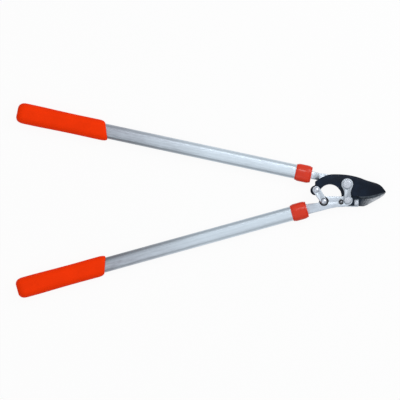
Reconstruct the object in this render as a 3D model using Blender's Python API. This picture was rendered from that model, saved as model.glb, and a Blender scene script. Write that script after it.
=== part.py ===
"""Bypass lopper with compound lever action, 0.8 m long, jaws closed.

+X runs to the blade's tip, +Y to the fixed handle, +Z up from the floor.
The origin is on the main pivot's axis, at the flat end of its bolt.
Lengths are in metres.
"""

import math

import bmesh
import bpy
from mathutils import Matrix, Vector

GAP = 0.0003  # running clearance between neighbours

# Pivots, seen from above
MAIN_PIVOT = (0.0, 0.0)
LEVER_PIVOT = (0.0010, -0.0345)
BLADE_LINK_PIVOT = (-0.0663, -0.0121)
LEVER_LINK_PIVOT = (-0.0501, -0.0365)
LINK_FLOAT = 0.0014  # how far the coupled links stray from the lever's pin

# Handles: slope to the X axis, offset of the axis from its pivot, reach to the collar
HANDLE_Z = 0.0170
UPPER_SLOPE = 12.1
UPPER_OFFSET = 0.0033
UPPER_REACH = 0.0969
LOWER_SLOPE = 15.45
LOWER_OFFSET = 0.0048
LOWER_REACH = 0.1065
TUBE_WIDTH = 0.0310
TUBE_HEIGHT = 0.0190
TUBE_WALL = 0.0015
COLLAR_LENGTH = 0.0345
COLLAR_FRONT_WALL = 0.0060
COLLAR_WIDTH = 0.0382
COLLAR_HEIGHT = 0.0256
COLLAR_POWER = 2.4  # 2 makes its section an ellipse, more a squarer oval
GRIP_FROM_COLLAR = 0.4335
GRIP_LENGTH = 0.1960
GRIP_WIDTH = 0.0445
GRIP_ROUND = 0.46  # corner radius as a share of the height
GRIP_LEAN = 19.0  # lean of the mouth, whose inner side is nearer the head
GRIP_LEAN_RUN = 0.30  # share of the length over which the lean dies out
GRIP_END_WALL = 0.0120
NECK_HEIGHT = 0.0080
NECK_CORNER = 0.0025
NECK_LAP = 0.0030
NECK_STEP = 0.0005
SPIGOT_LENGTH = 0.0400
SPIGOT_CHAMFER = 0.0015
TANG_PIN_RADIUS = 0.0025

# Along a grip: share of its length, of its widest place, of its height
GRIP_SHAPE = (
    (0.000, 0.760, 0.740),
    (0.004, 0.815, 0.810),
    (0.012, 0.870, 0.865),
    (0.025, 0.920, 0.910),
    (0.045, 0.953, 0.930),
    (0.080, 0.966, 0.935),
    (0.220, 0.962, 0.935),
    (0.350, 0.956, 0.940),
    (0.550, 0.970, 0.965),
    (0.750, 0.998, 1.000),
    (0.900, 1.000, 0.995),
    (0.938, 0.978, 0.965),
    (0.963, 0.915, 0.885),
    (0.982, 0.800, 0.750),
    (0.994, 0.650, 0.580),
    (1.000, 0.500, 0.420),
)

# Along a collar: share of its length, of its width, of its height
COLLAR_SHAPE = (
    (0.000, 0.840, 0.860),
    (0.030, 0.895, 0.920),
    (0.090, 0.945, 0.960),
    (0.200, 0.985, 0.990),
    (0.350, 1.000, 1.000),
    (0.700, 1.000, 1.000),
    (0.850, 0.980, 0.985),
    (0.930, 0.945, 0.955),
    (0.975, 0.905, 0.915),
    (1.000, 0.870, 0.870),
)

# Along the jog from a tang's plate to its neck: share of the jog's length, share
# of the growth to the neck's section, corner radius, share of the offset left
JOG_LAP = 0.0020
JOG_CORNER = 0.0008
JOG_SHAPE = (
    (0.35, 0.15, 0.0012, 0.80),
    (0.70, 0.50, 0.0018, 0.40),
    (1.00, 0.85, 0.0022, 0.10),
)
JOG_REST = 0.0022

# Plates, from the front one down
SIDE_PLATE_THICK = 0.0030
BLADE_THICK = 0.0050
HOOK_THICK = 0.0050
TANG_THICK = 0.0050
LINK_THICK = 0.0030
WASHER_THICK = 0.0010
EDGE_SOFT = 0.0004
SIDE_SOFT = 0.0007
LINK_SOFT = 0.0006

# Blade
ARCH_CENTRE = (-0.0372, -0.0243)
ARCH_RADIUS = 0.0240
BLADE_LOBE = 0.0105
BLADE_LOBE_AT = (-0.0688, -0.0132)
ARM_LEFT = -0.0692
ARM_CORNER = 0.0030
ARM_CORNER_Y = 0.0042
BLADE_FILLET = 0.0030
BLADE_CROOK = 0.0040
EDGE_LAND = 0.0006
HEEL = (0.0176, -0.0257)
HEEL_SOFT = 0.0012
BLADE_BACK = (
    (0.0831, -0.0174),
    (0.0822, -0.0145),
    (0.0786, -0.0098),
    (0.0741, -0.0044),
    (0.0676, 0.0002),
    (0.0594, 0.0033),
    (0.0416, 0.0085),
    (0.0251, 0.0147),
    (0.0073, 0.0190),
    (-0.0092, 0.0211),
    (-0.0270, 0.0217),
    (-0.0380, 0.0209),
    (-0.0462, 0.0188),
    (-0.0544, 0.0149),
    (-0.0613, 0.0110),
)
BLADE_EDGE = (
    (0.0182, -0.0266),
    (0.0250, -0.0296),
    (0.0330, -0.0311),
    (0.0430, -0.0314),
    (0.0530, -0.0302),
    (0.0620, -0.0277),
    (0.0700, -0.0246),
    (0.0760, -0.0217),
    (0.0802, -0.0193),
)
BLADE_GRIND = (
    (0.0180, -0.0235),
    (0.0245, -0.0257),
    (0.0325, -0.0263),
    (0.0425, -0.0258),
    (0.0525, -0.0243),
    (0.0615, -0.0222),
    (0.0693, -0.0201),
    (0.0752, -0.0186),
    (0.0796, -0.0178),
)

# Hook
HOOK_SCREW_AT = (0.0200, -0.0402)
HOOK_SCREW_LOBE = 0.0068
HOOK_MAIN_LOBE = 0.0170
HOOK_LEVER_LOBE = 0.0115
HOOK_TAIL_LOBE = 0.0075
HOOK_BACK = (
    (0.0345, -0.0476),
    (0.0416, -0.0452),
    (0.0553, -0.0377),
    (0.0690, -0.0303),
    (0.0782, -0.0238),
    (0.0818, -0.0192),
)
HOOK_EDGE = (
    (0.0800, -0.0180),
    (0.0740, -0.0196),
    (0.0620, -0.0240),
    (0.0480, -0.0272),
    (0.0350, -0.0268),
    (0.0250, -0.0236),
)
GROOVES = 5
GROOVE_LENGTH = 0.0300
GROOVE_WIDTH = 0.0016
GROOVE_DEPTH = 0.0012
GROOVE_FIRST = (0.0385, -0.0380)
GROOVE_STEP = (0.0074, 0.0020)
GROOVE_LEAN = 62.0
CLAMP = (0.0094, 0.0142, 0.0024)  # width, length, thickness
CLAMP_CORNER = 0.0012

# Silver plates
TANG_WIDTH = 0.0160
TANG_MAIN_LOBE = 0.0140
TANG_LEVER_LOBE = 0.0140
TANG_SCREW_LOBE = 0.0085
TANG_PLATE_END = 0.0600
LEVER_BOSS = 0.0105
LEVER_TOE = 0.0060
LEVER_TOE_AT = (-0.0065, -0.0426)
LEVER_EAR = 0.0105
LEVER_WIDTH = 0.0220
LEVER_PLATE_END = 0.0620
LEVER_INNER = 0.0075
LEVER_OUTER = 0.0114
LEVER_SWEEP = 0.1100
LEVER_SWEEP_AT = 0.0434
LEVER_FILLET = 0.0030
LEVER_CROOK = 0.0035
SIDE_MAIN_LOBE = 0.0130
SIDE_LEVER_LOBE = 0.0086
SIDE_WAIST = 0.0140
SIDE_HOLLOW = 0.0150
SIDE_WAIST_DROP = 0.0015
LINK_BLADE_LOBE = 0.0082
LINK_LEVER_LOBE = 0.0070
RIVETS_AT = (0.0230, 0.0396)
RIVET_RADIUS = 0.0030

# Fasteners: shank radius, head across flats or radius, head height
MAIN_BOLT = (0.0050, 0.0170, 0.0064)
LEVER_BOLT = (0.0040, 0.0130, 0.0053)
HOOK_SCREW = (0.0025, 0.0080, 0.0035)
HOOK_NUT = (0.0080, 0.0047)
LINK_PIN = (0.0030, 0.0056, 0.0033)
LINK_NUT = (0.0100, 0.0050)
BUMPER_SCREW = (0.0019, 0.0028, 0.0018)
BOLT_TAIL = 0.0012
SHANK_CHAMFER = 0.0006
HEAD_CHAMFER = 0.0009
HEAD_FACE = 0.94  # flat face of a hexagon as a share of its flats
DOME = ((1.00, 0.00), (1.00, 0.35), (0.90, 0.72), (0.64, 0.94), (0.30, 1.00))

# Washers, spacers and bushes
MAIN_WASHER_RADIUS = 0.0105
LEVER_WASHER_RADIUS = 0.0085
SCREW_WASHER_RADIUS = 0.0055
LINK_WASHER_RADIUS = 0.0068
SPACER_RADIUS = 0.0102
BUSH_WALL = 0.0017
BUMPER_AT = (-0.0128, -0.0380)
BUMPER = (0.0022, 0.0046, 0.0036)
BUMPER_STRETCH = 0.0010

# Sizes that follow from those above
HOOK_LOW = HANDLE_Z - HOOK_THICK / 2
HOOK_HIGH = HOOK_LOW + HOOK_THICK
TANG_HIGH = HOOK_LOW - GAP
TANG_LOW = TANG_HIGH - TANG_THICK
BLADE_LOW = HOOK_HIGH + GAP
BLADE_HIGH = BLADE_LOW + BLADE_THICK
SIDE_LOW = BLADE_HIGH + GAP
SIDE_HIGH = SIDE_LOW + SIDE_PLATE_THICK
HEAD_LOW = SIDE_HIGH + GAP
REAR_WASHER_HIGH = TANG_LOW - GAP
REAR_WASHER_LOW = REAR_WASHER_HIGH - WASHER_THICK
REAR_NUT_HIGH = REAR_WASHER_LOW - GAP
LINK_LOW = SIDE_LOW + WASHER_THICK + GAP
LINK_HIGH = LINK_LOW + LINK_THICK
REAR_LINK_HIGH = BLADE_LOW - GAP
REAR_LINK_LOW = REAR_LINK_HIGH - LINK_THICK
PIVOT_SPAN = math.dist(MAIN_PIVOT, LEVER_PIVOT)
HUB = math.dist(MAIN_PIVOT, ARCH_CENTRE) - ARCH_RADIUS
FLOAT_HOLE = LINK_PIN[0] + LINK_FLOAT + GAP
TURNS = 24  # points round a turned piece
CORNER = 6  # points round a section's corner
SHARP = 32.0  # degrees from which an edge stays sharp
CUT_LOW = -0.0100
CUT_HIGH = 0.0500


def clear_scene():
    for obj in list(bpy.data.objects):
        bpy.data.objects.remove(obj)


def material(name, colour, metallic, roughness):
    surface = bpy.data.materials.new(name)
    surface.use_nodes = True
    shader = surface.node_tree.nodes["Principled BSDF"]
    shader.inputs["Base Color"].default_value = (*colour, 1.0)
    shader.inputs["Metallic"].default_value = metallic
    shader.inputs["Roughness"].default_value = roughness
    return surface


def handle_frame(pivot, angle, offset):
    """Frame on a handle's axis: +X away from the head, +Y as turned, +Z up."""
    turn = Matrix.Rotation(math.radians(angle), 4, "Z")
    foot = Vector((pivot[0], pivot[1], 0.0)) + turn @ Vector((0.0, -offset, 0.0))
    return Matrix.Translation(foot) @ turn


UPPER = handle_frame(MAIN_PIVOT, 180.0 - UPPER_SLOPE, UPPER_OFFSET)
LOWER = handle_frame(LEVER_PIVOT, 180.0 + LOWER_SLOPE, LOWER_OFFSET)


def spot(frame, along, across):
    point = frame @ Vector((along, across, 0.0))
    return (point.x, point.y)


def meet(first, first_radius, second, second_radius, side):
    """Where two circles cross, on one side of the line between their centres."""
    span = math.dist(first, second)
    along = (span**2 + first_radius**2 - second_radius**2) / (2 * span)
    across = side * math.sqrt(first_radius**2 - along**2)
    ux = (second[0] - first[0]) / span
    uy = (second[1] - first[1]) / span
    return (first[0] + along * ux - across * uy, first[1] + along * uy + across * ux)


def belt(stops, closed=True, step=11.0):
    """Outline round circles (x, y, radius); a negative radius bends inwards."""
    count = len(stops)
    heads = []
    for i in range(count if closed else count - 1):
        xa, ya, ra = stops[i]
        xb, yb, rb = stops[(i + 1) % count]
        lean = (ra - rb) / math.hypot(xb - xa, yb - ya)
        heads.append(math.atan2(yb - ya, xb - xa) + math.asin(max(-1.0, min(1.0, lean))))
    points = []
    for i, (x, y, radius) in enumerate(stops):
        if radius == 0.0:
            points.append((x, y))
            continue
        before = heads[i - 1]
        after = heads[i]
        sweep = (after - before) % math.tau
        if radius < 0:
            sweep -= math.tau
        if abs(sweep) > math.tau - 0.02:
            sweep = 0.0
        parts = max(1, math.ceil(abs(math.degrees(sweep)) / step))
        for k in range(parts + 1):
            angle = before + sweep * k / parts
            points.append((x + radius * math.sin(angle), y - radius * math.cos(angle)))
    return points


def spline(knots, parts=3):
    """Smooth line through the knots."""
    ends = (knots[0], *knots, knots[-1])
    points = []
    for a, b, c, d in zip(ends, ends[1:], ends[2:], ends[3:]):
        for k in range(parts):
            t = k / parts
            row = []
            for i in (0, 1):
                low = 2 * b[i] + (c[i] - a[i]) * t
                bend = (2 * a[i] - 5 * b[i] + 4 * c[i] - d[i]) * t * t
                top = (3 * b[i] - a[i] - 3 * c[i] + d[i]) * t**3
                row.append((low + bend + top) / 2)
            points.append(tuple(row))
    points.append(knots[-1])
    return points


def thinned(points, least=0.0002):
    kept = [points[0]]
    for point in points[1:]:
        if math.dist(point, kept[-1]) > least:
            kept.append(point)
    while math.dist(kept[0], kept[-1]) <= least:
        kept.pop()
    return kept


def stop(at, radius):
    return (at[0], at[1], radius)


def section(width, height, radius):
    """Rounded rectangle across a handle, as (across, up) pairs."""
    points = []
    for k, (sx, sy) in enumerate(((1, 1), (-1, 1), (-1, -1), (1, -1))):
        cx = sx * (width / 2 - radius)
        cy = sy * (height / 2 - radius)
        for i in range(CORNER):
            angle = math.radians(90.0 * (k + i / (CORNER - 1)))
            points.append((cx + radius * math.cos(angle), cy + radius * math.sin(angle)))
    return points


def oval(width, height, power):
    """Superellipse across a handle, as (across, up) pairs."""
    points = []
    count = 4 * CORNER
    for k in range(count):
        angle = math.tau * (k + 0.5) / count
        pair = (math.cos(angle), math.sin(angle))
        y, z = (math.copysign(abs(part) ** (2 / power), part) for part in pair)
        points.append((y * width / 2, z * height / 2))
    return points


def ring_along(frame, along, points, rise=0.0, shift=0.0, lean=0.0):
    """A section's points at a distance along a handle, on a plane that may lean."""
    return [frame @ Vector((along + lean * y, y + shift, HANDLE_Z + z + rise)) for y, z in points]


def across(frame, along, width, height, radius, **placing):
    return ring_along(frame, along, section(width, height, radius), **placing)


def ring_at(at, radius, z):
    ring = []
    for k in range(TURNS):
        angle = math.tau * k / TURNS
        ring.append(Vector((at[0] + radius * math.cos(angle), at[1] + radius * math.sin(angle), z)))
    return ring


def hex_at(at, flats, z):
    ring = []
    for k in range(TURNS):
        angle = math.tau * k / TURNS
        off = (angle + math.pi / 6) % (math.pi / 3) - math.pi / 6
        radius = flats / 2 / math.cos(off)
        ring.append(Vector((at[0] + radius * math.cos(angle), at[1] + radius * math.sin(angle), z)))
    return ring


def lofted(rings, closed):
    """Skin over rings of equal count: capped at both ends, or closed on itself."""
    bm = bmesh.new()
    rows = [[bm.verts.new(point) for point in ring] for ring in rings]
    pairs = list(zip(rows, rows[1:]))
    if closed:
        pairs.append((rows[-1], rows[0]))
    else:
        bm.faces.new(rows[0])
        bm.faces.new(rows[-1])
    count = len(rows[0])
    for low, high in pairs:
        for i in range(count):
            j = (i + 1) % count
            bm.faces.new((low[i], low[j], high[j], high[i]))
    bmesh.ops.recalc_face_normals(bm, faces=bm.faces)
    return bm


def slab(outline, low, high, soft=EDGE_SOFT):
    """A flat plate with its upper and lower edges broken."""
    bm = bmesh.new()
    face = bm.faces.new([bm.verts.new((x, y, low)) for x, y in thinned(outline)])
    grown = bmesh.ops.extrude_face_region(bm, geom=[face])
    lifted = [item for item in grown["geom"] if isinstance(item, bmesh.types.BMVert)]
    bmesh.ops.translate(bm, verts=lifted, vec=(0.0, 0.0, high - low))
    bmesh.ops.recalc_face_normals(bm, faces=bm.faces)
    if soft:
        rims = [e for e in bm.edges if abs(e.verts[0].co.z - e.verts[1].co.z) < 1e-7]
        bmesh.ops.bevel(
            bm,
            geom=rims,
            offset=soft,
            offset_type="OFFSET",
            segments=1,
            profile=0.5,
            affect="EDGES",
            material=-1,
        )
    return bm


def keep(name, bm, surface, origin=MAIN_PIVOT, level=False):
    """The mesh as an object whose origin is on its body's joint axis."""
    home = Vector((origin[0], origin[1], 0.0))
    bmesh.ops.translate(bm, verts=bm.verts, vec=-home)
    for face in bm.faces:
        face.smooth = True
    mesh = bpy.data.meshes.new(name)
    bm.to_mesh(mesh)
    bm.free()
    mesh.set_sharp_from_angle(angle=math.radians(SHARP))
    for face in mesh.polygons:
        face.use_smooth = not (level and abs(face.normal.z) > 0.999)
    obj = bpy.data.objects.new(name, mesh)
    obj.location = home
    bpy.context.scene.collection.objects.link(obj)
    if surface:
        mesh.materials.append(surface)
    return obj


def drum(bm, at, radius, low=CUT_LOW, high=CUT_HIGH):
    """Adds a round cutter to a mesh of cutters."""
    turned = bmesh.ops.create_cone(
        bm,
        cap_ends=True,
        segments=TURNS,
        radius1=radius,
        radius2=radius,
        depth=high - low,
    )
    bmesh.ops.translate(bm, verts=turned["verts"], vec=(at[0], at[1], (low + high) / 2))


def combine(obj, other, operation):
    other.hide_render = True
    other.display_type = "WIRE"
    step = obj.modifiers.new(operation.title(), "BOOLEAN")
    step.operation = operation
    step.solver = "EXACT"
    step.object = other


def drill(obj, holes):
    """Cuts round holes (place, radius) right through a piece."""
    bm = bmesh.new()
    for at, radius in holes:
        drum(bm, at, radius)
    combine(obj, keep("cut_" + obj.name, bm, None), "DIFFERENCE")


def hex_bolt(name, at, sizes, seat, tail, surface):
    radius, flats, height = sizes
    top = seat + height
    rings = [
        ring_at(at, radius - SHANK_CHAMFER, tail),
        ring_at(at, radius, tail + SHANK_CHAMFER),
        ring_at(at, radius, seat),
        hex_at(at, flats, seat),
        hex_at(at, flats, top - HEAD_CHAMFER),
        ring_at(at, flats / 2 * HEAD_FACE, top),
    ]
    return keep(name, lofted(rings, False), surface, level=True)


def domed_pin(name, at, sizes, seat, tail, surface, origin=MAIN_PIVOT):
    radius, head, height = sizes
    rings = [
        ring_at(at, radius - SHANK_CHAMFER, tail),
        ring_at(at, radius, tail + SHANK_CHAMFER),
        ring_at(at, radius, seat),
    ]
    rings += [ring_at(at, head * wide, seat + height * tall) for wide, tall in DOME]
    return keep(name, lofted(rings, False), surface, origin, True)


def hex_nut(name, at, radius, flats, low, high, surface, origin=MAIN_PIVOT):
    rings = [
        ring_at(at, flats / 2 * HEAD_FACE, low),
        hex_at(at, flats, low + HEAD_CHAMFER),
        hex_at(at, flats, high - HEAD_CHAMFER),
        ring_at(at, flats / 2 * HEAD_FACE, high),
        ring_at(at, radius + GAP, high),
        ring_at(at, radius + GAP, low),
    ]
    return keep(name, lofted(rings, True), surface, origin, True)


def hoop(name, at, inner, outer, low, high, surface, origin=MAIN_PIVOT):
    """A washer or a bush."""
    rings = [
        ring_at(at, outer, low),
        ring_at(at, outer, high),
        ring_at(at, inner, high),
        ring_at(at, inner, low),
    ]
    return keep(name, lofted(rings, True), surface, origin, True)


def grip(name, frame, reach, inner, surface, origin):
    """A grip whose mouth leans; inner is the side of +Y that faces the other handle."""
    front = reach + GRIP_FROM_COLLAR
    lean = -inner * math.tan(math.radians(GRIP_LEAN))
    inner_end = front + GRIP_LENGTH - GRIP_END_WALL + 2 * GAP
    bore = (TUBE_WIDTH + 2 * GAP, TUBE_HEIGHT + 2 * GAP, TUBE_HEIGHT / 2 + GAP)
    rings = [across(frame, inner_end, *bore), across(frame, front, *bore, lean=lean)]
    for part, wide, tall in GRIP_SHAPE:
        height = 2 * HANDLE_Z * tall
        size = (GRIP_WIDTH * wide, height, height * GRIP_ROUND)
        left = max(0.0, 1.0 - part / GRIP_LEAN_RUN) ** 2
        rings.append(across(frame, front + GRIP_LENGTH * part, *size, lean=lean * left))
    return keep(name, lofted(rings, False), surface, origin)


def tube(name, frame, reach, surface, origin):
    start = reach - COLLAR_LENGTH / 2 + COLLAR_FRONT_WALL + 2 * GAP
    end = reach + GRIP_FROM_COLLAR + GRIP_LENGTH - GRIP_END_WALL
    outer = (TUBE_WIDTH, TUBE_HEIGHT, TUBE_HEIGHT / 2)
    inner = tuple(size - wall * TUBE_WALL for size, wall in zip(outer, (2, 2, 1)))
    rings = [
        across(frame, start, *outer),
        across(frame, end, *outer),
        across(frame, end, *inner),
        across(frame, start, *inner),
    ]
    piece = keep(name, lofted(rings, True), surface, origin)
    drill(piece, [(spot(frame, pin_reach(reach), 0.0), TANG_PIN_RADIUS + GAP)])
    return piece


def pin_reach(reach):
    return reach + COLLAR_LENGTH / 4


def collar(name, frame, reach, slot, surface, origin):
    near = reach - COLLAR_LENGTH / 2
    far = reach + COLLAR_LENGTH / 2
    step = near + COLLAR_FRONT_WALL
    bore = (TUBE_WIDTH + 2 * GAP, TUBE_HEIGHT + 2 * GAP, TUBE_HEIGHT / 2 + GAP)
    rings = []
    for part, wide, tall in COLLAR_SHAPE:
        points = oval(COLLAR_WIDTH * wide, COLLAR_HEIGHT * tall, COLLAR_POWER)
        rings.append(ring_along(frame, near + COLLAR_LENGTH * part, points))
    rings.append(across(frame, far, *bore))
    rings.append(across(frame, step, *bore))
    rings.append(across(frame, step, *slot))
    rings.append(across(frame, near, *slot))
    return keep(name, lofted(rings, True), surface, origin)


def neck_start(reach):
    return reach - COLLAR_LENGTH / 2 - NECK_LAP


def jog(end, reach, plate_width, neck_width, rise, shift):
    """The part of a tang that steps from its plate to the handle's axis."""
    length = neck_start(reach) - JOG_REST - end
    thick = TANG_THICK - GAP
    sections = [
        (end - JOG_LAP, plate_width - 2 * GAP, thick, JOG_CORNER, rise, shift),
        (end + JOG_LAP, plate_width - GAP, thick, JOG_CORNER, rise, shift),
    ]
    for part, grown, corner, left in JOG_SHAPE:
        wide = plate_width + (neck_width - plate_width) * grown
        tall = TANG_THICK + (NECK_HEIGHT - TANG_THICK) * grown
        sections.append((end + length * part, wide, tall, corner, rise * left, shift * left))
    return sections


def neck_and_spigot(reach, width):
    """The part of a tang that fills the collar's slot and the tube's end."""
    wide = TUBE_WIDTH - 2 * TUBE_WALL - 2 * GAP
    tall = TUBE_HEIGHT - 2 * TUBE_WALL - 2 * GAP
    cut = SPIGOT_CHAMFER
    end = reach + SPIGOT_LENGTH
    return [
        (neck_start(reach), width, NECK_HEIGHT, NECK_CORNER, 0.0, 0.0),
        (reach - NECK_STEP, width, NECK_HEIGHT, NECK_CORNER, 0.0, 0.0),
        (reach + NECK_STEP, wide, tall, tall / 2, 0.0, 0.0),
        (end - cut, wide, tall, tall / 2, 0.0, 0.0),
        (end, wide - 2 * cut, tall - 2 * cut, tall / 2 - cut, 0.0, 0.0),
    ]


def add_neck(piece, frame, sections, origin):
    """Joins a tang's jog, neck and spigot to its plate."""
    rings = []
    for along, width, height, radius, rise, shift in sections:
        rings.append(across(frame, along, width, height, radius, rise=rise, shift=shift))
    neck = keep("join_" + piece.name, lofted(rings, False), None, origin)
    combine(piece, neck, "UNION")


def cutting_blade(surface):
    fillet = BLADE_FILLET
    rise = math.sqrt((BLADE_LOBE + fillet) ** 2 - (ARM_LEFT - fillet - BLADE_LOBE_AT[0]) ** 2)
    crook = BLADE_CROOK
    crook_at = meet(BLADE_LOBE_AT, BLADE_LOBE + crook, ARCH_CENTRE, ARCH_RADIUS - crook, 1)
    back = spline(BLADE_BACK)
    body = belt(
        [
            stop(BLADE_BACK[-1], 0.0),
            (ARM_LEFT + ARM_CORNER, ARM_CORNER_Y, ARM_CORNER),
            (ARM_LEFT - fillet, BLADE_LOBE_AT[1] + rise, -fillet),
            stop(BLADE_LOBE_AT, BLADE_LOBE),
            stop(crook_at, -crook),
            stop(ARCH_CENTRE, -ARCH_RADIUS),
            stop(MAIN_PIVOT, HUB),
            stop(LEVER_PIVOT, HUB - PIVOT_SPAN),
            stop(HEEL, HEEL_SOFT),
            stop(BLADE_EDGE[0], 0.0),
        ],
        closed=False,
    )
    sides = thinned(back[1:] + body[1:-1])
    edge = spline((*BLADE_EDGE, BLADE_BACK[0]))
    grind = spline((*BLADE_GRIND, BLADE_BACK[0]))
    low = sides + edge
    high = sides + grind
    rings = [
        [Vector((x, y, BLADE_LOW)) for x, y in low],
        [Vector((x, y, BLADE_LOW + EDGE_LAND)) for x, y in low],
        [Vector((x, y, BLADE_HIGH)) for x, y in high],
    ]
    piece = keep("cutting_blade", lofted(rings, False), surface, level=True)
    holes = [
        (MAIN_PIVOT, MAIN_BOLT[0] + BUSH_WALL + 2 * GAP),
        (BLADE_LINK_PIVOT, LINK_PIN[0] + GAP),
    ]
    drill(piece, holes)
    return piece


def hook_plate(surface):
    tail = spot(UPPER, RIVETS_AT[1], 0.0)
    rear = belt(
        [
            stop(HOOK_EDGE[-1], 0.0),
            stop(MAIN_PIVOT, HOOK_MAIN_LOBE),
            stop(tail, HOOK_TAIL_LOBE),
            stop(ARCH_CENTRE, -ARCH_RADIUS - 2 * GAP),
            stop(LEVER_PIVOT, HOOK_LEVER_LOBE),
            stop(HOOK_SCREW_AT, HOOK_SCREW_LOBE),
            stop(HOOK_BACK[0], 0.0),
        ],
        closed=False,
    )
    outline = rear[1:-1] + spline(HOOK_BACK) + spline(HOOK_EDGE)
    piece = keep("hook_plate", slab(outline, HOOK_LOW, HOOK_HIGH), surface, level=True)
    bm = bmesh.new()
    drum(bm, MAIN_PIVOT, MAIN_BOLT[0] + GAP)
    drum(bm, LEVER_PIVOT, LEVER_BOLT[0] + GAP)
    drum(bm, HOOK_SCREW_AT, HOOK_SCREW[0] + GAP)
    for along in RIVETS_AT:
        drum(bm, spot(UPPER, along, 0.0), RIVET_RADIUS + GAP)
    for k in range(GROOVES):
        bar = bmesh.ops.create_cube(bm, size=1.0)["verts"]
        bmesh.ops.scale(bm, verts=bar, vec=(GROOVE_LENGTH, GROOVE_WIDTH, 2 * GROOVE_DEPTH))
        turn = Matrix.Rotation(math.radians(GROOVE_LEAN), 4, "Z")
        bmesh.ops.rotate(bm, verts=bar, matrix=turn.to_3x3())
        x = GROOVE_FIRST[0] + k * GROOVE_STEP[0]
        y = GROOVE_FIRST[1] + k * GROOVE_STEP[1]
        bmesh.ops.translate(bm, verts=bar, vec=(x, y, HOOK_HIGH))
    combine(piece, keep("cut_hook_plate", bm, None), "DIFFERENCE")
    return piece


def upper_tang(surface):
    inner = spot(UPPER, TANG_PLATE_END, TANG_WIDTH / 2)
    outer = spot(UPPER, TANG_PLATE_END, -TANG_WIDTH / 2)
    outline = belt(
        [
            stop(inner, 0.0),
            stop(ARCH_CENTRE, -ARCH_RADIUS - 4 * GAP),
            stop(LEVER_PIVOT, TANG_LEVER_LOBE),
            stop(HOOK_SCREW_AT, TANG_SCREW_LOBE),
            stop(MAIN_PIVOT, TANG_MAIN_LOBE),
            stop(outer, 0.0),
        ]
    )
    piece = keep("upper_tang", slab(outline, TANG_LOW, TANG_HIGH), surface, level=True)
    drop = (TANG_LOW + TANG_HIGH) / 2 - HANDLE_Z
    neck = jog(TANG_PLATE_END, UPPER_REACH, TANG_WIDTH, TANG_WIDTH, drop, 0.0)
    neck += neck_and_spigot(UPPER_REACH, TANG_WIDTH)
    add_neck(piece, UPPER, neck, MAIN_PIVOT)
    holes = [
        (MAIN_PIVOT, MAIN_BOLT[0] + GAP),
        (LEVER_PIVOT, LEVER_BOLT[0] + GAP),
        (HOOK_SCREW_AT, HOOK_SCREW[0] + GAP),
        (spot(UPPER, pin_reach(UPPER_REACH), 0.0), TANG_PIN_RADIUS + GAP),
    ]
    holes += [(spot(UPPER, along, 0.0), RIVET_RADIUS + GAP) for along in RIVETS_AT]
    drill(piece, holes)
    return piece


def lower_tang(surface):
    inner = spot(LOWER, LEVER_PLATE_END, -LEVER_INNER)
    outer = spot(LOWER, LEVER_PLATE_END, LEVER_OUTER)
    sweep = spot(LOWER, LEVER_SWEEP_AT, LEVER_OUTER + LEVER_SWEEP)
    fillet = LEVER_FILLET
    top = LEVER_LINK_PIVOT[1] + LEVER_EAR
    run = math.sqrt((LEVER_BOSS + fillet) ** 2 - (top + fillet - LEVER_PIVOT[1]) ** 2)
    crook = LEVER_CROOK
    crook_y = inner[1] + crook
    reach = math.sqrt((LEVER_EAR + crook) ** 2 - (crook_y - LEVER_LINK_PIVOT[1]) ** 2)
    outline = belt(
        [
            stop(outer, 0.0),
            stop(sweep, -LEVER_SWEEP),
            stop(LEVER_TOE_AT, LEVER_TOE),
            stop(LEVER_PIVOT, LEVER_BOSS),
            (LEVER_PIVOT[0] - run, top + fillet, -fillet),
            stop(LEVER_LINK_PIVOT, LEVER_EAR),
            (LEVER_LINK_PIVOT[0] - reach, crook_y, -crook),
            stop(inner, 0.0),
        ]
    )
    mesh = slab(outline, BLADE_LOW, BLADE_HIGH)
    piece = keep("lower_tang", mesh, surface, LEVER_PIVOT, True)
    lift = (BLADE_LOW + BLADE_HIGH) / 2 - HANDLE_Z
    shift = (LEVER_OUTER - LEVER_INNER) / 2
    width = LEVER_OUTER + LEVER_INNER
    neck = jog(LEVER_PLATE_END, LOWER_REACH, width, LEVER_WIDTH, lift, shift)
    neck += neck_and_spigot(LOWER_REACH, LEVER_WIDTH)
    add_neck(piece, LOWER, neck, LEVER_PIVOT)
    holes = [
        (LEVER_PIVOT, LEVER_BOLT[0] + BUSH_WALL + 2 * GAP),
        (LEVER_LINK_PIVOT, LINK_PIN[0] + GAP),
        (BUMPER_AT, BUMPER_SCREW[0] + GAP),
        (spot(LOWER, pin_reach(LOWER_REACH), 0.0), TANG_PIN_RADIUS + GAP),
    ]
    drill(piece, holes)
    return piece


def side_plate(surface):
    middle = ((MAIN_PIVOT[0] + LEVER_PIVOT[0]) / 2, (MAIN_PIVOT[1] + LEVER_PIVOT[1]) / 2)
    off = SIDE_WAIST / 2 + SIDE_HOLLOW
    waist_y = middle[1] - SIDE_WAIST_DROP
    outline = belt(
        [
            stop(MAIN_PIVOT, SIDE_MAIN_LOBE),
            (middle[0] - off, waist_y, -SIDE_HOLLOW),
            stop(LEVER_PIVOT, SIDE_LEVER_LOBE),
            (middle[0] + off, waist_y, -SIDE_HOLLOW),
        ]
    )
    piece = keep("side_plate", slab(outline, SIDE_LOW, SIDE_HIGH, SIDE_SOFT), surface, level=True)
    drill(piece, [(MAIN_PIVOT, MAIN_BOLT[0] + GAP), (LEVER_PIVOT, LEVER_BOLT[0] + GAP)])
    return piece


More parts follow.
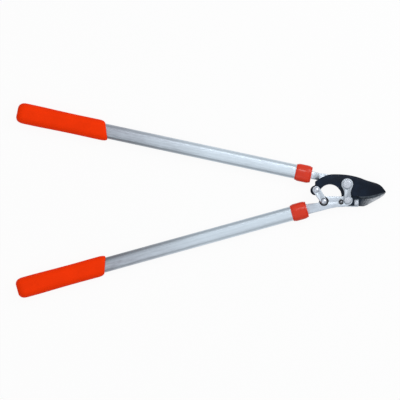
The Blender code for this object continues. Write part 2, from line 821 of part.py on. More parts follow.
def clamp_block(low, surface):
    """Block under the hook's screw."""
    width, length, thick = CLAMP
    x, y = HOOK_SCREW_AT
    across_by = width / 2 - CLAMP_CORNER
    along_by = length / 2 - CLAMP_CORNER
    corners = ((-1, -1), (1, -1), (1, 1), (-1, 1))
    stops = [(x + sx * across_by, y + sy * along_by, CLAMP_CORNER) for sx, sy in corners]
    piece = keep("hook_clamp", slab(belt(stops), low, low + thick), surface, level=True)
    drill(piece, [(HOOK_SCREW_AT, HOOK_SCREW[0] + GAP)])
    return piece


def bumper(surface):
    inner, outer, height = BUMPER
    x, y = BUMPER_AT
    ends = [(x, y - BUMPER_STRETCH, outer), (x, y + BUMPER_STRETCH, outer)]
    mesh = slab(belt(ends), SIDE_LOW, SIDE_LOW + height)
    piece = keep("lever_bumper", mesh, surface, LEVER_PIVOT, True)
    drill(piece, [(BUMPER_AT, inner)])
    return piece


def link(name, low, high, surface):
    ends = [stop(BLADE_LINK_PIVOT, LINK_BLADE_LOBE), stop(LEVER_LINK_PIVOT, LINK_LEVER_LOBE)]
    outline = belt(ends)
    piece = keep(name, slab(outline, low, high, LINK_SOFT), surface, BLADE_LINK_PIVOT, True)
    drill(piece, [(BLADE_LINK_PIVOT, LINK_PIN[0] + GAP), (LEVER_LINK_PIVOT, FLOAT_HOLE)])
    return piece


def rivet(name, along, surface):
    at = spot(UPPER, along, 0.0)
    rings = [ring_at(at, RIVET_RADIUS, TANG_LOW), ring_at(at, RIVET_RADIUS, HOOK_HIGH)]
    return keep(name, lofted(rings, False), surface, level=True)


def tang_pin(name, frame, reach, surface, origin):
    at = spot(frame, pin_reach(reach), 0.0)
    low = HANDLE_Z - TUBE_HEIGHT / 2 + GAP
    high = HANDLE_Z + TUBE_HEIGHT / 2 - GAP
    rings = [ring_at(at, TANG_PIN_RADIUS, low), ring_at(at, TANG_PIN_RADIUS, high)]
    return keep(name, lofted(rings, False), surface, origin)


def neck_slot(width):
    return (width + 2 * GAP, NECK_HEIGHT + 2 * GAP, NECK_CORNER + GAP)


def fixed_side(orange, glossy, tube_metal, steel, coat, zinc):
    grip("upper_grip", UPPER, UPPER_REACH, 1, orange, MAIN_PIVOT)
    tube("upper_tube", UPPER, UPPER_REACH, tube_metal, MAIN_PIVOT)
    slot = neck_slot(TANG_WIDTH)
    collar("upper_collar", UPPER, UPPER_REACH, slot, glossy, MAIN_PIVOT)
    upper_tang(steel)
    tang_pin("upper_tang_pin", UPPER, UPPER_REACH, zinc, MAIN_PIVOT)
    hook_plate(coat)
    rivet("hook_rivet_front", RIVETS_AT[0], zinc)
    rivet("hook_rivet_rear", RIVETS_AT[1], zinc)
    side_plate(steel)
    hex_bolt("main_pivot_bolt", MAIN_PIVOT, MAIN_BOLT, HEAD_LOW, 0.0, zinc)
    low = REAR_WASHER_LOW
    high = REAR_WASHER_HIGH
    radius, flats, _ = MAIN_BOLT
    hoop("main_washer", MAIN_PIVOT, radius + GAP, MAIN_WASHER_RADIUS, low, high, zinc)
    hex_nut("main_nut", MAIN_PIVOT, radius, flats, BOLT_TAIL, REAR_NUT_HIGH, zinc)
    hex_bolt("lever_pivot_bolt", LEVER_PIVOT, LEVER_BOLT, HEAD_LOW, BOLT_TAIL / 2, zinc)
    radius, flats, _ = LEVER_BOLT
    hoop("lever_pivot_washer", LEVER_PIVOT, radius + GAP, LEVER_WASHER_RADIUS, low, high, zinc)
    hex_nut("lever_pivot_nut", LEVER_PIVOT, radius, flats, BOLT_TAIL, REAR_NUT_HIGH, zinc)
    clamp_low = HOOK_HIGH + GAP
    clamp_block(clamp_low, steel)
    seat = clamp_low + CLAMP[2] + GAP
    bottom = REAR_NUT_HIGH - HOOK_NUT[1]
    at = HOOK_SCREW_AT
    hex_bolt("hook_screw", at, HOOK_SCREW, seat, bottom - BOLT_TAIL / 2, zinc)
    radius = HOOK_SCREW[0]
    hoop("hook_screw_washer", at, radius + GAP, SCREW_WASHER_RADIUS, low, high, zinc)
    hex_nut("hook_screw_nut", at, radius, HOOK_NUT[0], bottom, REAR_NUT_HIGH, zinc)


def lever_side(orange, glossy, tube_metal, steel, zinc, nylon, rubber, bronze):
    home = LEVER_PIVOT
    grip("lower_grip", LOWER, LOWER_REACH, -1, orange, home)
    tube("lower_tube", LOWER, LOWER_REACH, tube_metal, home)
    slot = neck_slot(LEVER_WIDTH)
    collar("lower_collar", LOWER, LOWER_REACH, slot, glossy, home)
    lower_tang(steel)
    tang_pin("lower_tang_pin", LOWER, LOWER_REACH, zinc, home)
    inner = LEVER_BOLT[0] + GAP
    hoop("lever_bush", home, inner, inner + BUSH_WALL, BLADE_LOW, BLADE_HIGH, bronze, home)
    at = LEVER_LINK_PIVOT
    inner = LINK_PIN[0] + GAP
    spacer_top = SIDE_LOW + WASHER_THICK
    hoop("lever_link_spacer", at, inner, SPACER_RADIUS, SIDE_LOW, spacer_top, nylon, home)
    low = LINK_HIGH + GAP
    high = low + WASHER_THICK
    hoop("lever_link_washer", at, inner, LINK_WASHER_RADIUS, low, high, zinc, home)
    link_hardware("lever_link", at, high + GAP, zinc, home)
    bumper(rubber)
    seat = SIDE_LOW + BUMPER[2] + GAP
    domed_pin("bumper_screw", BUMPER_AT, BUMPER_SCREW, seat, BLADE_LOW, zinc, home)


def link_hardware(name, at, seat, zinc, home):
    """Pin through a joint of the links, with its rear washer and nut."""
    high = REAR_LINK_LOW - GAP
    low = high - WASHER_THICK
    nut_high = low - GAP
    nut_low = nut_high - LINK_NUT[1]
    domed_pin(name + "_pin", at, LINK_PIN, seat, nut_low - BOLT_TAIL / 2, zinc, home)
    inner = LINK_PIN[0] + GAP
    hoop(name + "_rear_washer", at, inner, LINK_WASHER_RADIUS, low, high, zinc, home)
    hex_nut(name + "_nut", at, LINK_PIN[0], LINK_NUT[0], nut_low, nut_high, zinc, home)


def blade_side(coat, zinc, bronze):
    cutting_blade(coat)
    inner = MAIN_BOLT[0] + GAP
    hoop("blade_bush", MAIN_PIVOT, inner, inner + BUSH_WALL, BLADE_LOW, BLADE_HIGH, bronze)
    at = BLADE_LINK_PIVOT
    inner = LINK_PIN[0] + GAP
    spacer_top = SIDE_LOW + WASHER_THICK
    hoop("blade_link_spacer", at, inner, LINK_WASHER_RADIUS, SIDE_LOW, spacer_top, zinc)
    link_hardware("blade_link", at, LINK_HIGH + GAP, zinc, MAIN_PIVOT)


def main():
    clear_scene()
    orange = material("grip_orange", (0.90, 0.08, 0.01), 0.0, 0.55)
    glossy = material("collar_orange", (0.85, 0.06, 0.01), 0.0, 0.30)
    tube_metal = material("tube_aluminium", (0.62, 0.65, 0.72), 1.0, 0.42)
    steel = material("plate_steel", (0.60, 0.64, 0.70), 1.0, 0.35)
    blade_coat = material("blade_black", (0.012, 0.018, 0.030), 0.2, 0.40)
    hook_coat = material("hook_black", (0.050, 0.055, 0.065), 0.3, 0.50)
    zinc = material("zinc_steel", (0.66, 0.67, 0.70), 1.0, 0.28)
    nylon = material("black_nylon", (0.02, 0.02, 0.025), 0.0, 0.50)
    rubber = material("black_rubber", (0.03, 0.03, 0.03), 0.0, 0.80)
    bronze = material("bush_bronze", (0.55, 0.36, 0.16), 1.0, 0.35)
    fixed_side(orange, glossy, tube_metal, steel, hook_coat, zinc)
    lever_side(orange, glossy, tube_metal, steel, zinc, nylon, rubber, bronze)
    blade_side(blade_coat, zinc, bronze)
    link("front_link", LINK_LOW, LINK_HIGH, steel)
    link("rear_link", REAR_LINK_LOW, REAR_LINK_HIGH, steel)


main()
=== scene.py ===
"""Bypass lopper with compound lever action: its surfaces, its finishes and the studio.

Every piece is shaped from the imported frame, in metres, +Z up from the floor.
"""

import math

import bmesh
import bpy
from bpy.props import FloatProperty, FloatVectorProperty, IntProperty, PointerProperty
from mathutils import Matrix, Vector


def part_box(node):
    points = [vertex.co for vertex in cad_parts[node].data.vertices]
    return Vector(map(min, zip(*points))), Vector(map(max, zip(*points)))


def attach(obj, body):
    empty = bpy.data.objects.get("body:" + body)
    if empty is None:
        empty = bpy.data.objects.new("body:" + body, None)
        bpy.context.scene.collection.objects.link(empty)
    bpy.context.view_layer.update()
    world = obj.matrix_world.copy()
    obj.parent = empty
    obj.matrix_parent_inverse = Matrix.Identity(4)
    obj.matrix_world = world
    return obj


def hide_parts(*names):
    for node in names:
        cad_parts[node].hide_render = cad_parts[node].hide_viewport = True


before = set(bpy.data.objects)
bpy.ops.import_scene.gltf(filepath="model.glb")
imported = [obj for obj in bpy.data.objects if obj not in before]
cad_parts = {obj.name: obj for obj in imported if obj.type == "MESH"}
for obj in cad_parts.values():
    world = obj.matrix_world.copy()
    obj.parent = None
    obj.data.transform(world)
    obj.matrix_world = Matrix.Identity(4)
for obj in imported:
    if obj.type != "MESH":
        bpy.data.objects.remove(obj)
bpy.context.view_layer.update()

bl_info = {
    "name": "Bypass lopper",
    "version": (1, 0, 0),
    "blender": (4, 5, 0),
    "location": "3D View > Sidebar > Lopper",
    "description": "Builds the surfaces and finishes of a compound bypass lopper",
    "category": "Object",
}

# The photograph's view: what a pixel covers, and where the picture's centre lies
PIXEL = 0.00215
PICTURE_WIDTH = 400
PICTURE_CENTRE = (-0.3165, -0.0338)
CAMERA_HEIGHT = 2.4

GAP = 0.0003  # clearance that the frame keeps between neighbours
MERGE = 0.000002  # points closer than this are one
FLAT = math.radians(0.4)  # faces that lean less than this to each other are one
SOFTEN_FROM = 20.0  # edges are rounded from this angle, in degrees
HEXAGON_SOFTEN_FROM = 25.0
SHARP_FROM = 38.0  # edges are shaded sharp from this angle, in degrees
FASTENER_SHARP_FROM = 30.0

# Grips
GRIP_LENGTH = 0.1960
GRIP_LEAN = 19.0  # lean of the mouth, whose inner side is nearer the head
GRIP_LEAN_RUN = 0.30  # share of the length over which the lean dies out
GRIP_CORNER = 0.46  # corner radius as a share of the height
GRIP_LIP = 0.0006
GRIP_STEPS = 4  # rings from one row of shares to the next

# Along a grip: share of its length, of its width, of its height
GRIP_SHARES = (
    (0.000, 0.745, 0.720),
    (0.002, 0.785, 0.780),
    (0.006, 0.833, 0.830),
    (0.012, 0.872, 0.868),
    (0.025, 0.920, 0.910),
    (0.045, 0.953, 0.930),
    (0.080, 0.966, 0.935),
    (0.220, 0.962, 0.935),
    (0.350, 0.956, 0.940),
    (0.550, 0.970, 0.965),
    (0.750, 0.998, 1.000),
    (0.900, 1.000, 0.995),
    (0.938, 0.978, 0.965),
    (0.963, 0.915, 0.885),
    (0.982, 0.800, 0.750),
    (0.994, 0.650, 0.580),
    (1.000, 0.500, 0.420),
)
GRIP_END = (0.34, 0.17)  # shares of the width across the flat end

# Collars
COLLAR_POWER = 2.4  # 2 makes the section an ellipse, more a squarer oval
# Slot for the tang in each collar's neck: across and up
NECK_SLOTS = {"upper_collar": (0.0166, 0.0086), "lower_collar": (0.0226, 0.0086)}
NECK_CORNER = 0.0028
MOUTH_CUT = 0.0005
COLLAR_STEPS = 2  # rings from one row of shares to the next

# Along a collar, with a groove near each end: shares as for a grip
COLLAR_SHARES = (
    (0.000, 0.835, 0.855),
    (0.012, 0.868, 0.893),
    (0.030, 0.898, 0.922),
    (0.058, 0.925, 0.945),
    (0.072, 0.930, 0.950),
    (0.078, 0.900, 0.920),
    (0.105, 0.900, 0.920),
    (0.112, 0.950, 0.963),
    (0.150, 0.970, 0.978),
    (0.200, 0.985, 0.990),
    (0.280, 0.996, 0.998),
    (0.350, 1.000, 1.000),
    (0.700, 1.000, 1.000),
    (0.780, 0.993, 0.995),
    (0.850, 0.980, 0.985),
    (0.882, 0.971, 0.977),
    (0.888, 0.925, 0.935),
    (0.915, 0.920, 0.930),
    (0.921, 0.950, 0.960),
    (0.950, 0.930, 0.940),
    (0.975, 0.905, 0.915),
    (0.990, 0.885, 0.892),
    (1.000, 0.865, 0.865),
)

TUBE_WALL = 0.0015
TUBE_BREAK = 0.0003  # chamfer on a tube's ends

# Fasteners
HEAD_SHARE = 0.9  # points further out than this share of the half width are on the head
HEAD_FACE = 0.94  # flat face of a hexagon as a share of its flats
HEAD_CONE = math.radians(30.0)  # slope of the cone that cuts a hexagon's corners
HEAD_SLACK = 0.0004  # how far one solid runs into another before a Boolean step
SHANK_CHAMFER = 0.0006
BORE_CHAMFER = 0.0005
TURNED_EDGE = 0.0002
POLE = 0.0003  # radius of the small flat where a turned solid meets its axis
DOME_WALL = 0.30  # upright share of a domed head's height
DOME_STEPS = 9
DULL_ZINC = 0.35  # brightness of the dull plating as a share of the fresh one

# Blade: which faces are its bevel, where its coat turns darker, and how its lines lie
BEVEL_UPRIGHT = (0.50, 0.97)  # upright part of the normal on the bevel
BEVEL_LEAST = 0.000002  # smaller leaning faces, in square metres, are broken edges
BLADE_DEEPER = (0.0300, 0.0560)
RUB_SLOPE = math.radians(-18.0)
GRIND_SLOPE = math.radians(8.0)

# Hook: slope of its back, the span along +X and the span out from the pivot over which
# its wear sets in, and the slope of the wear's streaks
HOOK_SLOPE = math.radians(31.0)
WEAR_START = (0.0260, 0.0540)
WEAR_DEPTH = (0.0430, 0.0600)
STREAK_SLOPE = math.radians(62.0)

# Tubes: span off the axis over which painted shade darkens the inner side, how far
# its edge wanders, and the span along the handle over which painted shade greys the metal
INNER_SHADE_SPAN = (0.0030, 0.0100)
INNER_SHADE_DRIFT = 0.0030
GRIP_SHADE_SPAN = (0.2000, 0.4900)

WALL_UPRIGHT = (0.55, 0.25)  # upright part of the normal where a wall begins and is full


class LopperSizes(bpy.types.PropertyGroup):
    """Sizes of the visible surfaces that the frame leaves open."""

    turned_points: IntProperty(
        name="Turned points",
        description="Points round a turned piece",
        default=64,
        min=12,
    )
    corner_points: IntProperty(
        name="Corner points",
        description="Points round each corner of a handle's section",
        default=14,
        min=4,
    )
    edge_round: FloatProperty(
        name="Edge rounding",
        description="Rounding of the plates' broken edges",
        default=0.00012,
        unit="LENGTH",
    )
    vinyl_grain: FloatProperty(
        name="Vinyl grain",
        description="Size of the grain on the grips",
        default=0.0008,
        unit="LENGTH",
    )
    brush_pitch: FloatProperty(
        name="Brush pitch",
        description="Distance between the brushed lines on steel and aluminium",
        default=0.0004,
        unit="LENGTH",
    )


def colour_property(name, description, value):
    """A colour that the user can change."""
    return FloatVectorProperty(
        name=name,
        description=description,
        subtype="COLOR",
        size=3,
        min=0.0,
        max=1.0,
        default=value,
    )


class LopperColours(bpy.types.PropertyGroup):
    """Colours of the finishes."""

    vinyl: colour_property("Grip vinyl", "Soft vinyl of the grips", (0.990, 0.039, 0.0003))
    plastic: colour_property("Collar plastic", "Glossy plastic", (0.700, 0.028, 0.002))
    aluminium: colour_property("Tube aluminium", "Drawn tubes", (0.600, 0.680, 0.755))
    # The tarnish colour is the painted shade that greys the tubes towards the grips
    tarnish: colour_property("Tarnish", "Tubes near the grips", (0.210, 0.197, 0.232))
    steel: colour_property("Plate steel", "Tangs, side plate and links", (0.620, 0.690, 0.775))
    coat: colour_property("Blade coat", "Non-stick coat of the blade", (0.0045, 0.0105, 0.0240))
    ground: colour_property("Ground steel", "Ground bevel of the blade", (0.100, 0.120, 0.145))
    hook: colour_property("Hook coat", "Coat of the hook", (0.012, 0.018, 0.028))
    worn: colour_property("Worn jaw", "Bare metal of the worn jaw", (0.470, 0.490, 0.520))
    zinc: colour_property("Zinc", "Plating of bolts, nuts and pins", (0.560, 0.600, 0.670))
    # Nylon: the spacer's black is partly painted shade, its ring round the link pin standing in for
    # the shade cast there
    nylon: colour_property("Nylon", "Spacer of the link", (0.012, 0.013, 0.016))
    rubber: colour_property("Rubber", "Bumper of the lever", (0.045, 0.047, 0.052))
    bronze: colour_property("Bronze", "Bushes of the pivots", (0.500, 0.330, 0.150))


# Places and sizes that the frame gives


def middle(name):
    """Middle of a node's box."""
    low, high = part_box(name)
    return (low + high) / 2


def handle_frame(pin, tube):
    """Frame on a handle's axis: origin at its cross pin, +X away from the head."""
    start = middle(pin)
    away = middle(tube) - start
    turn = Matrix.Rotation(math.atan2(away.y, away.x), 4, "Z")
    return Matrix.Translation(Vector((start.x, start.y, 0.0))) @ turn


UPPER = handle_frame("upper_tang_pin", "upper_tube")
LOWER = handle_frame("lower_tang_pin", "lower_tube")
HANDLE_Z = middle("upper_tube").z

# Each handle: its name, its frame, the sign of the side that faces the other handle
# along its own +Y, and its body
HANDLES = (("upper", UPPER, 1, "hook_handle"), ("lower", LOWER, -1, "lever_handle"))


def slope(first, second):
    """Angle of the line from one node's middle to another's."""
    away = middle(second) - middle(first)
    return math.atan2(away.y, away.x)


def local_box(name, place):
    """Lowest and highest corners of a node in a handle's frame."""
    back = place.inverted()
    points = [back @ v.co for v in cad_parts[name].data.vertices]
    low = Vector(min(p[i] for p in points) for i in range(3))
    high = Vector(max(p[i] for p in points) for i in range(3))
    return low, high


def reaches(name):
    """Centre of a turned node, and each vertex's distance from it and level."""
    centre = middle(name)
    points = [v.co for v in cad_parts[name].data.vertices]
    return centre, [(math.hypot(p.x - centre.x, p.y - centre.y), p.z) for p in points]


def headed(name):
    """Centre, half width of the head, shank radius and seat level of a fastener."""
    centre, points = reaches(name)
    low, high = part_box(name)
    head = (high.x - low.x) / 2
    seat = min(z for radius, z in points if radius > head * HEAD_SHARE)
    shank = max(radius for radius, z in points if z < seat - SHANK_CHAMFER)
    return centre, head, shank, seat


# Shapes


def section(width, height, corner, count):
    """Rounded rectangle across a handle, as (across, up) pairs."""
    points = []
    for k, (sx, sy) in enumerate(((1, 1), (-1, 1), (-1, -1), (1, -1))):
        cx = sx * (width / 2 - corner)
        cy = sy * (height / 2 - corner)
        for i in range(count):
            angle = math.radians(90.0 * (k + i / (count - 1)))
            points.append((cx + corner * math.cos(angle), cy + corner * math.sin(angle)))
    return points


def oval(width, height, power, count):
    """Superellipse across a handle, as (across, up) pairs."""
    points = []
    for k in range(4 * count):
        angle = math.tau * (k + 0.5) / (4 * count)
        pair = (math.cos(angle), math.sin(angle))
        y, z = (math.copysign(abs(part) ** (2 / power), part) for part in pair)
        points.append((y * width / 2, z * height / 2))
    return points


def opened(size, by):
    """A section's width, height and corner, set out by a distance all round."""
    width, height, corner = size
    return width + 2 * by, height + 2 * by, corner + by


def ring_along(place, along, points, lean=0.0):
    """A section's points at a distance along a handle, on a plane that may lean."""
    return [place @ Vector((along + lean * y, y, HANDLE_Z + z)) for y, z in points]


def smooth_rows(rows, steps):
    """Rows of shares with smooth rows between them, none above 1."""
    ends = (rows[0], *rows, rows[-1])
    out = []
    for a, b, c, d in zip(ends, ends[1:], ends[2:], ends[3:]):
        for k in range(steps):
            t = k / steps
            row = []
            for i in range(len(b)):
                low = 2 * b[i] + (c[i] - a[i]) * t
                bend = (2 * a[i] - 5 * b[i] + 4 * c[i] - d[i]) * t * t
                top = (3 * b[i] - a[i] - 3 * c[i] + d[i]) * t**3
                row.append(min((low + bend + top) / 2, 1.0))
            out.append(row)
    out.append(rows[-1])
    return out


def grow(bm, ring, points):
    """Extrudes an open ring of vertices and lays the new ring at the points."""
    members = set(ring)
    rim = {e for v in ring for e in v.link_edges if e.is_boundary or e.is_wire}
    rim = [e for e in rim if e.verts[0] in members and e.verts[1] in members]
    grown = bmesh.ops.extrude_edge_only(bm, edges=rim)
    fresh = {item for item in grown["geom"] if isinstance(item, bmesh.types.BMVert)}
    following = []
    for vert, point in zip(ring, points):
        new = next(e.other_vert(vert) for e in vert.link_edges if e.other_vert(vert) in fresh)
        new.co = point
        following.append(new)
    return following


def face_outwards(bm):
    """Merges doubled points, then turns every face of a closed mesh outwards."""
    bmesh.ops.remove_doubles(bm, verts=bm.verts, dist=MERGE)
    bmesh.ops.recalc_face_normals(bm, faces=bm.faces)
    if bm.calc_volume(signed=True) < 0.0:
        bmesh.ops.reverse_faces(bm, faces=bm.faces)


def skin(rings, closed=False):
    """Surface through rings of points: capped at both ends, or closed on itself."""
    bm = bmesh.new()
    count = len(rings[0])
    ring = bmesh.ops.create_circle(bm, cap_ends=False, radius=1.0, segments=count)["verts"]
    for vert, point in zip(ring, rings[0]):
        vert.co = point
    for points in rings[1:]:
        ring = grow(bm, ring, points)
    rim = [e for e in bm.edges if e.is_boundary]
    if closed:
        bmesh.ops.bridge_loops(bm, edges=rim)
    else:
        bmesh.ops.holes_fill(bm, edges=rim, sides=0)
    face_outwards(bm)
    return bm


def turned(centre, profile, count, closed=False):
    """A profile of (radius, level) pairs spun about an upright axis."""
    bm = bmesh.new()
    verts = [bm.verts.new((centre.x + radius, centre.y, z)) for radius, z in profile]
    edges = [bm.edges.new(pair) for pair in zip(verts, verts[1:])]
    if closed:
        edges.append(bm.edges.new((verts[-1], verts[0])))
    bmesh.ops.spin(
        bm,
        geom=verts + edges,
        cent=(centre.x, centre.y, 0.0),
        axis=(0.0, 0.0, 1.0),
        angle=math.tau,
        steps=count,
        use_merge=True,
    )
    rim = [e for e in bm.edges if e.is_boundary]
    bmesh.ops.holes_fill(bm, edges=rim, sides=0)
    face_outwards(bm)
    return bm


def merged(name):
    """A copy of a frame node's mesh, merged, with its flat faces whole."""
    bm = bmesh.new()
    bm.from_mesh(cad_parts[name].data)
    bmesh.ops.remove_doubles(bm, verts=bm.verts, dist=MERGE)
    bmesh.ops.dissolve_limit(
        bm,
        angle_limit=FLAT,
        verts=bm.verts,
        edges=bm.edges,
        use_dissolve_boundaries=False,
    )
    return bm


def soften(bm, width, segments=2, least=SOFTEN_FROM):
    """Rounds the edges between faces that meet at more than the least angle."""
    limit = math.radians(least)
    sharp = [e for e in bm.edges if e.is_manifold and e.calc_face_angle(0.0) > limit]
    bmesh.ops.bevel(
        bm,
        geom=sharp,
        offset=width,
        offset_type="OFFSET",
        segments=segments,
        profile=0.5,
        affect="EDGES",
        clamp_overlap=True,
        material=-1,
    )


def loose(name, bm):
    """The mesh as a plain object."""
    mesh = bpy.data.meshes.new(name)
    bm.to_mesh(mesh)
    bm.free()
    obj = bpy.data.objects.new(name, mesh)
    bpy.context.scene.collection.objects.link(obj)
    return obj


def combined(first, steps):
    """A mesh after Boolean steps with other meshes."""
    base = loose("blank", first)
    others = []
    for operation, other in steps:
        tool = loose("tool", other)
        step = base.modifiers.new("step", "BOOLEAN")
        step.operation = operation
        step.solver = "EXACT"
        step.object = tool
        others.append(tool)
    bpy.context.view_layer.update()
    seen = base.evaluated_get(bpy.context.evaluated_depsgraph_get())
    out = bmesh.new()
    out.from_mesh(seen.data)
    for obj in (base, *others):
        bpy.data.objects.remove(obj)
    bmesh.ops.remove_doubles(out, verts=out.verts, dist=MERGE)
    return out


def piece(name, bm, finishes, body, replaced, sharp=SHARP_FROM):
    """The mesh as a piece that rides on a body and stands for a frame node."""
    for face in bm.faces:
        face.smooth = True
    obj = loose(name, bm)
    obj.data.set_sharp_from_angle(angle=math.radians(sharp))
    for surface in finishes:
        obj.data.materials.append(surface)
    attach(obj, body)
    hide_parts(replaced)


# Shader helpers


def node(tree, kind, inputs=None, **settings):
    """A shader node with its settings, its values and its links."""
    new = tree.nodes.new(kind)
    for key, value in settings.items():
        setattr(new, key, value)
    for key, value in (inputs or {}).items():
        if isinstance(value, bpy.types.NodeSocket):
            tree.links.new(value, new.inputs[key])
        else:
            new.inputs[key].default_value = value
    return new


def start_finish(name, metallic=0.0, specular=0.5):
    """A new material, its node tree and its shader."""
    surface = bpy.data.materials.new(name)
    surface.use_nodes = True
    tree = surface.node_tree
    shader = tree.nodes["Principled BSDF"]
    shader.inputs["Metallic"].default_value = metallic
    shader.inputs["Specular IOR Level"].default_value = specular
    return surface, tree, shader


def coords(tree, turn=0.0, stretch=(1.0, 1.0, 1.0), centre=(0.0, 0.0, 0.0)):
    """Object coordinates turned about Z and stretched, as a texture's vector."""
    source = node(tree, "ShaderNodeTexCoord").outputs["Object"]
    moved = node(tree, "ShaderNodeVectorMath", {0: source, 1: centre}, operation="SUBTRACT")
    values = {"Vector": moved.outputs[0], "Angle": -turn}
    swung = node(tree, "ShaderNodeVectorRotate", values, rotation_type="Z_AXIS")
    values = {0: swung.outputs[0], 1: stretch}
    return node(tree, "ShaderNodeVectorMath", values, operation="MULTIPLY").outputs[0]


def noise(tree, vector, scale, detail=2.0, roughness=0.5, distortion=0.0):
    """Noise from 0 to 1."""
    values = {
        "Vector": vector,
        "Scale": scale,
        "Detail": detail,
        "Roughness": roughness,
        "Distortion": distortion,
    }
    return node(tree, "ShaderNodeTexNoise", values).outputs["Fac"]


def streaked(tree, stretch, turn=0.0, detail=2.0, roughness=0.5, distortion=0.0):
    """Noise on turned and stretched coordinates, which draws it out into streaks."""
    return noise(tree, coords(tree, turn, stretch), 1.0, detail, roughness, distortion)


def ramp(tree, value, span, result=(0.0, 1.0)):
    """The value carried from one span to another and held at its ends."""
    values = {
        "Value": value,
        "From Min": span[0],
        "From Max": span[1],
        "To Min": result[0],
        "To Max": result[1],
    }
    return node(tree, "ShaderNodeMapRange", values, clamp=True).outputs[0]


def maths(tree, operation, first, second=0.0):
    """Result of a sum on one or two values."""
    return node(tree, "ShaderNodeMath", {0: first, 1: second}, operation=operation).outputs[0]


def mixed(tree, share, first, second):
    """The first colour, and the second one by its share."""
    values = {0: share, 6: first, 7: second}
    return node(tree, "ShaderNodeMix", values, data_type="RGBA").outputs[2]


def mixed_number(tree, share, first, second):
    """The first number, and the second one by its share."""
    return node(tree, "ShaderNodeMix", {0: share, 2: first, 3: second}).outputs[0]


def shade(colour, factor=1.0):
    """The colour made darker or lighter, with its alpha."""
    return (*(channel * factor for channel in colour), 1.0)


def bump(tree, height, strength, distance):
    """Normal of a surface whose height follows a value."""
    values = {"Height": height, "Strength": strength, "Distance": distance}
    return node(tree, "ShaderNodeBump", values).outputs["Normal"]


def join_up(tree, shader, colour, roughness, normal):
    """Links a finish to its shader."""
    for key, value in (("Base Color", colour), ("Roughness", roughness), ("Normal", normal)):
        tree.links.new(value, shader.inputs[key])


def wall_share(tree):
    """1 on upright walls, 0 on level faces."""
    normal = node(tree, "ShaderNodeNewGeometry").outputs["Normal"]
    up = node(tree, "ShaderNodeSeparateXYZ", {"Vector": normal}).outputs["Z"]
    return ramp(tree, maths(tree, "ABSOLUTE", up), WALL_UPRIGHT)


# Finishes


def soft_vinyl(colours, sizes):
    """Matt vinyl with a fine grain, faint clouds and a few scuffs."""
    surface, tree, shader = start_finish("soft_vinyl", specular=0.05)
    place = coords(tree)
    grain = noise(tree, place, scale=1.0 / sizes.vinyl_grain, detail=3.0, roughness=0.6)
    cloud = ramp(tree, noise(tree, place, scale=28.0, detail=3.0), (0.3, 0.7))
    scuff = streaked(tree, (60.0, 300.0, 300.0), detail=4.0, roughness=0.7)
    base = mixed(tree, cloud, shade(colours.vinyl, 0.95), shade(colours.vinyl, 1.04))
    marks = ramp(tree, scuff, (0.62, 0.80), (0.0, 0.25))
    dusty = mixed(tree, marks, base, shade(colours.vinyl, 0.80))
    rough = ramp(tree, grain, (0.2, 0.8), (0.50, 0.66))
    join_up(tree, shader, dusty, rough, bump(tree, grain, strength=0.5, distance=0.00012))
    return surface


def gloss_plastic(colours):
    """Injection-moulded plastic: glossy, with light rub marks along the handle."""
    surface, tree, shader = start_finish("gloss_plastic", specular=0.4)
    place = coords(tree)
    peel = noise(tree, place, scale=420.0, detail=2.0)
    marks = streaked(tree, (900.0, 60.0, 60.0), detail=5.0, roughness=0.7)
    cloud = ramp(tree, noise(tree, place, scale=60.0, detail=2.0), (0.3, 0.7))
    base = mixed(tree, cloud, shade(colours.plastic, 0.92), shade(colours.plastic, 1.05))
    rough = ramp(tree, marks, (0.45, 0.75), (0.17, 0.30))
    join_up(tree, shader, base, rough, bump(tree, peel, strength=0.10, distance=0.00010))
    return surface


def drawn_aluminium(name, place, inner, colours, sizes):
    """Drawn tube: fine lines along it; painted shade greys it in patches towards the grip and darkens
    its inner side.
    """
    surface, tree, shader = start_finish(name, metallic=1.0)
    angle = place.to_euler().z
    pitch = 1.0 / sizes.brush_pitch
    lines = streaked(tree, (6.0, pitch, pitch), angle, detail=3.0, roughness=0.6)
    wide = streaked(tree, (3.0, 260.0, 260.0), angle, detail=2.0)
    stain = streaked(tree, (26.0, 170.0, 170.0), angle, detail=4.0, roughness=0.65)
    local = coords(tree, turn=angle, centre=place.translation)
    local = node(tree, "ShaderNodeSeparateXYZ", {"Vector": local}).outputs
    # Painted shade on the inner side of the tube, its edge wandering with the stains
    drift = ramp(tree, stain, (0.3, 0.7), (-INNER_SHADE_DRIFT, INNER_SHADE_DRIFT))
    across = maths(tree, "ADD", local["Y"], drift)
    inner_shade = ramp(tree, across, (inner * INNER_SHADE_SPAN[0], inner * INNER_SHADE_SPAN[1]))
    # Painted shade: the metal greys towards the grip
    grip_shade = ramp(tree, local["X"], GRIP_SHADE_SPAN)
    metal = colours.aluminium
    base = mixed(tree, ramp(tree, wide, (0.25, 0.75)), shade(metal, 0.92), shade(metal, 1.06))
    dull = mixed(tree, ramp(tree, stain, (0.50, 0.75), (0.0, 0.35)), base, shade(metal, 0.80))
    # The painted shade towards the grip is laid on in patches, in the tarnish colour; worn is the
    # metal under it
    patchy_grip_shade = maths(tree, "MULTIPLY", grip_shade, ramp(tree, stain, (0.36, 0.64), (0.60, 1.0)))
    worn = mixed(tree, patchy_grip_shade, dull, shade(colours.tarnish))
    # side and dark are the painted shade on the inner side, stronger towards the grip
    side = maths(tree, "MULTIPLY", inner_shade, ramp(tree, grip_shade, (0.0, 1.0), (0.20, 0.85)))
    dark = mixed(tree, side, worn, shade(metal, 0.30))
    rough = ramp(tree, lines, (0.25, 0.75), (0.30, 0.46))
    join_up(tree, shader, dark, rough, bump(tree, lines, strength=0.12, distance=0.00005))
    return surface


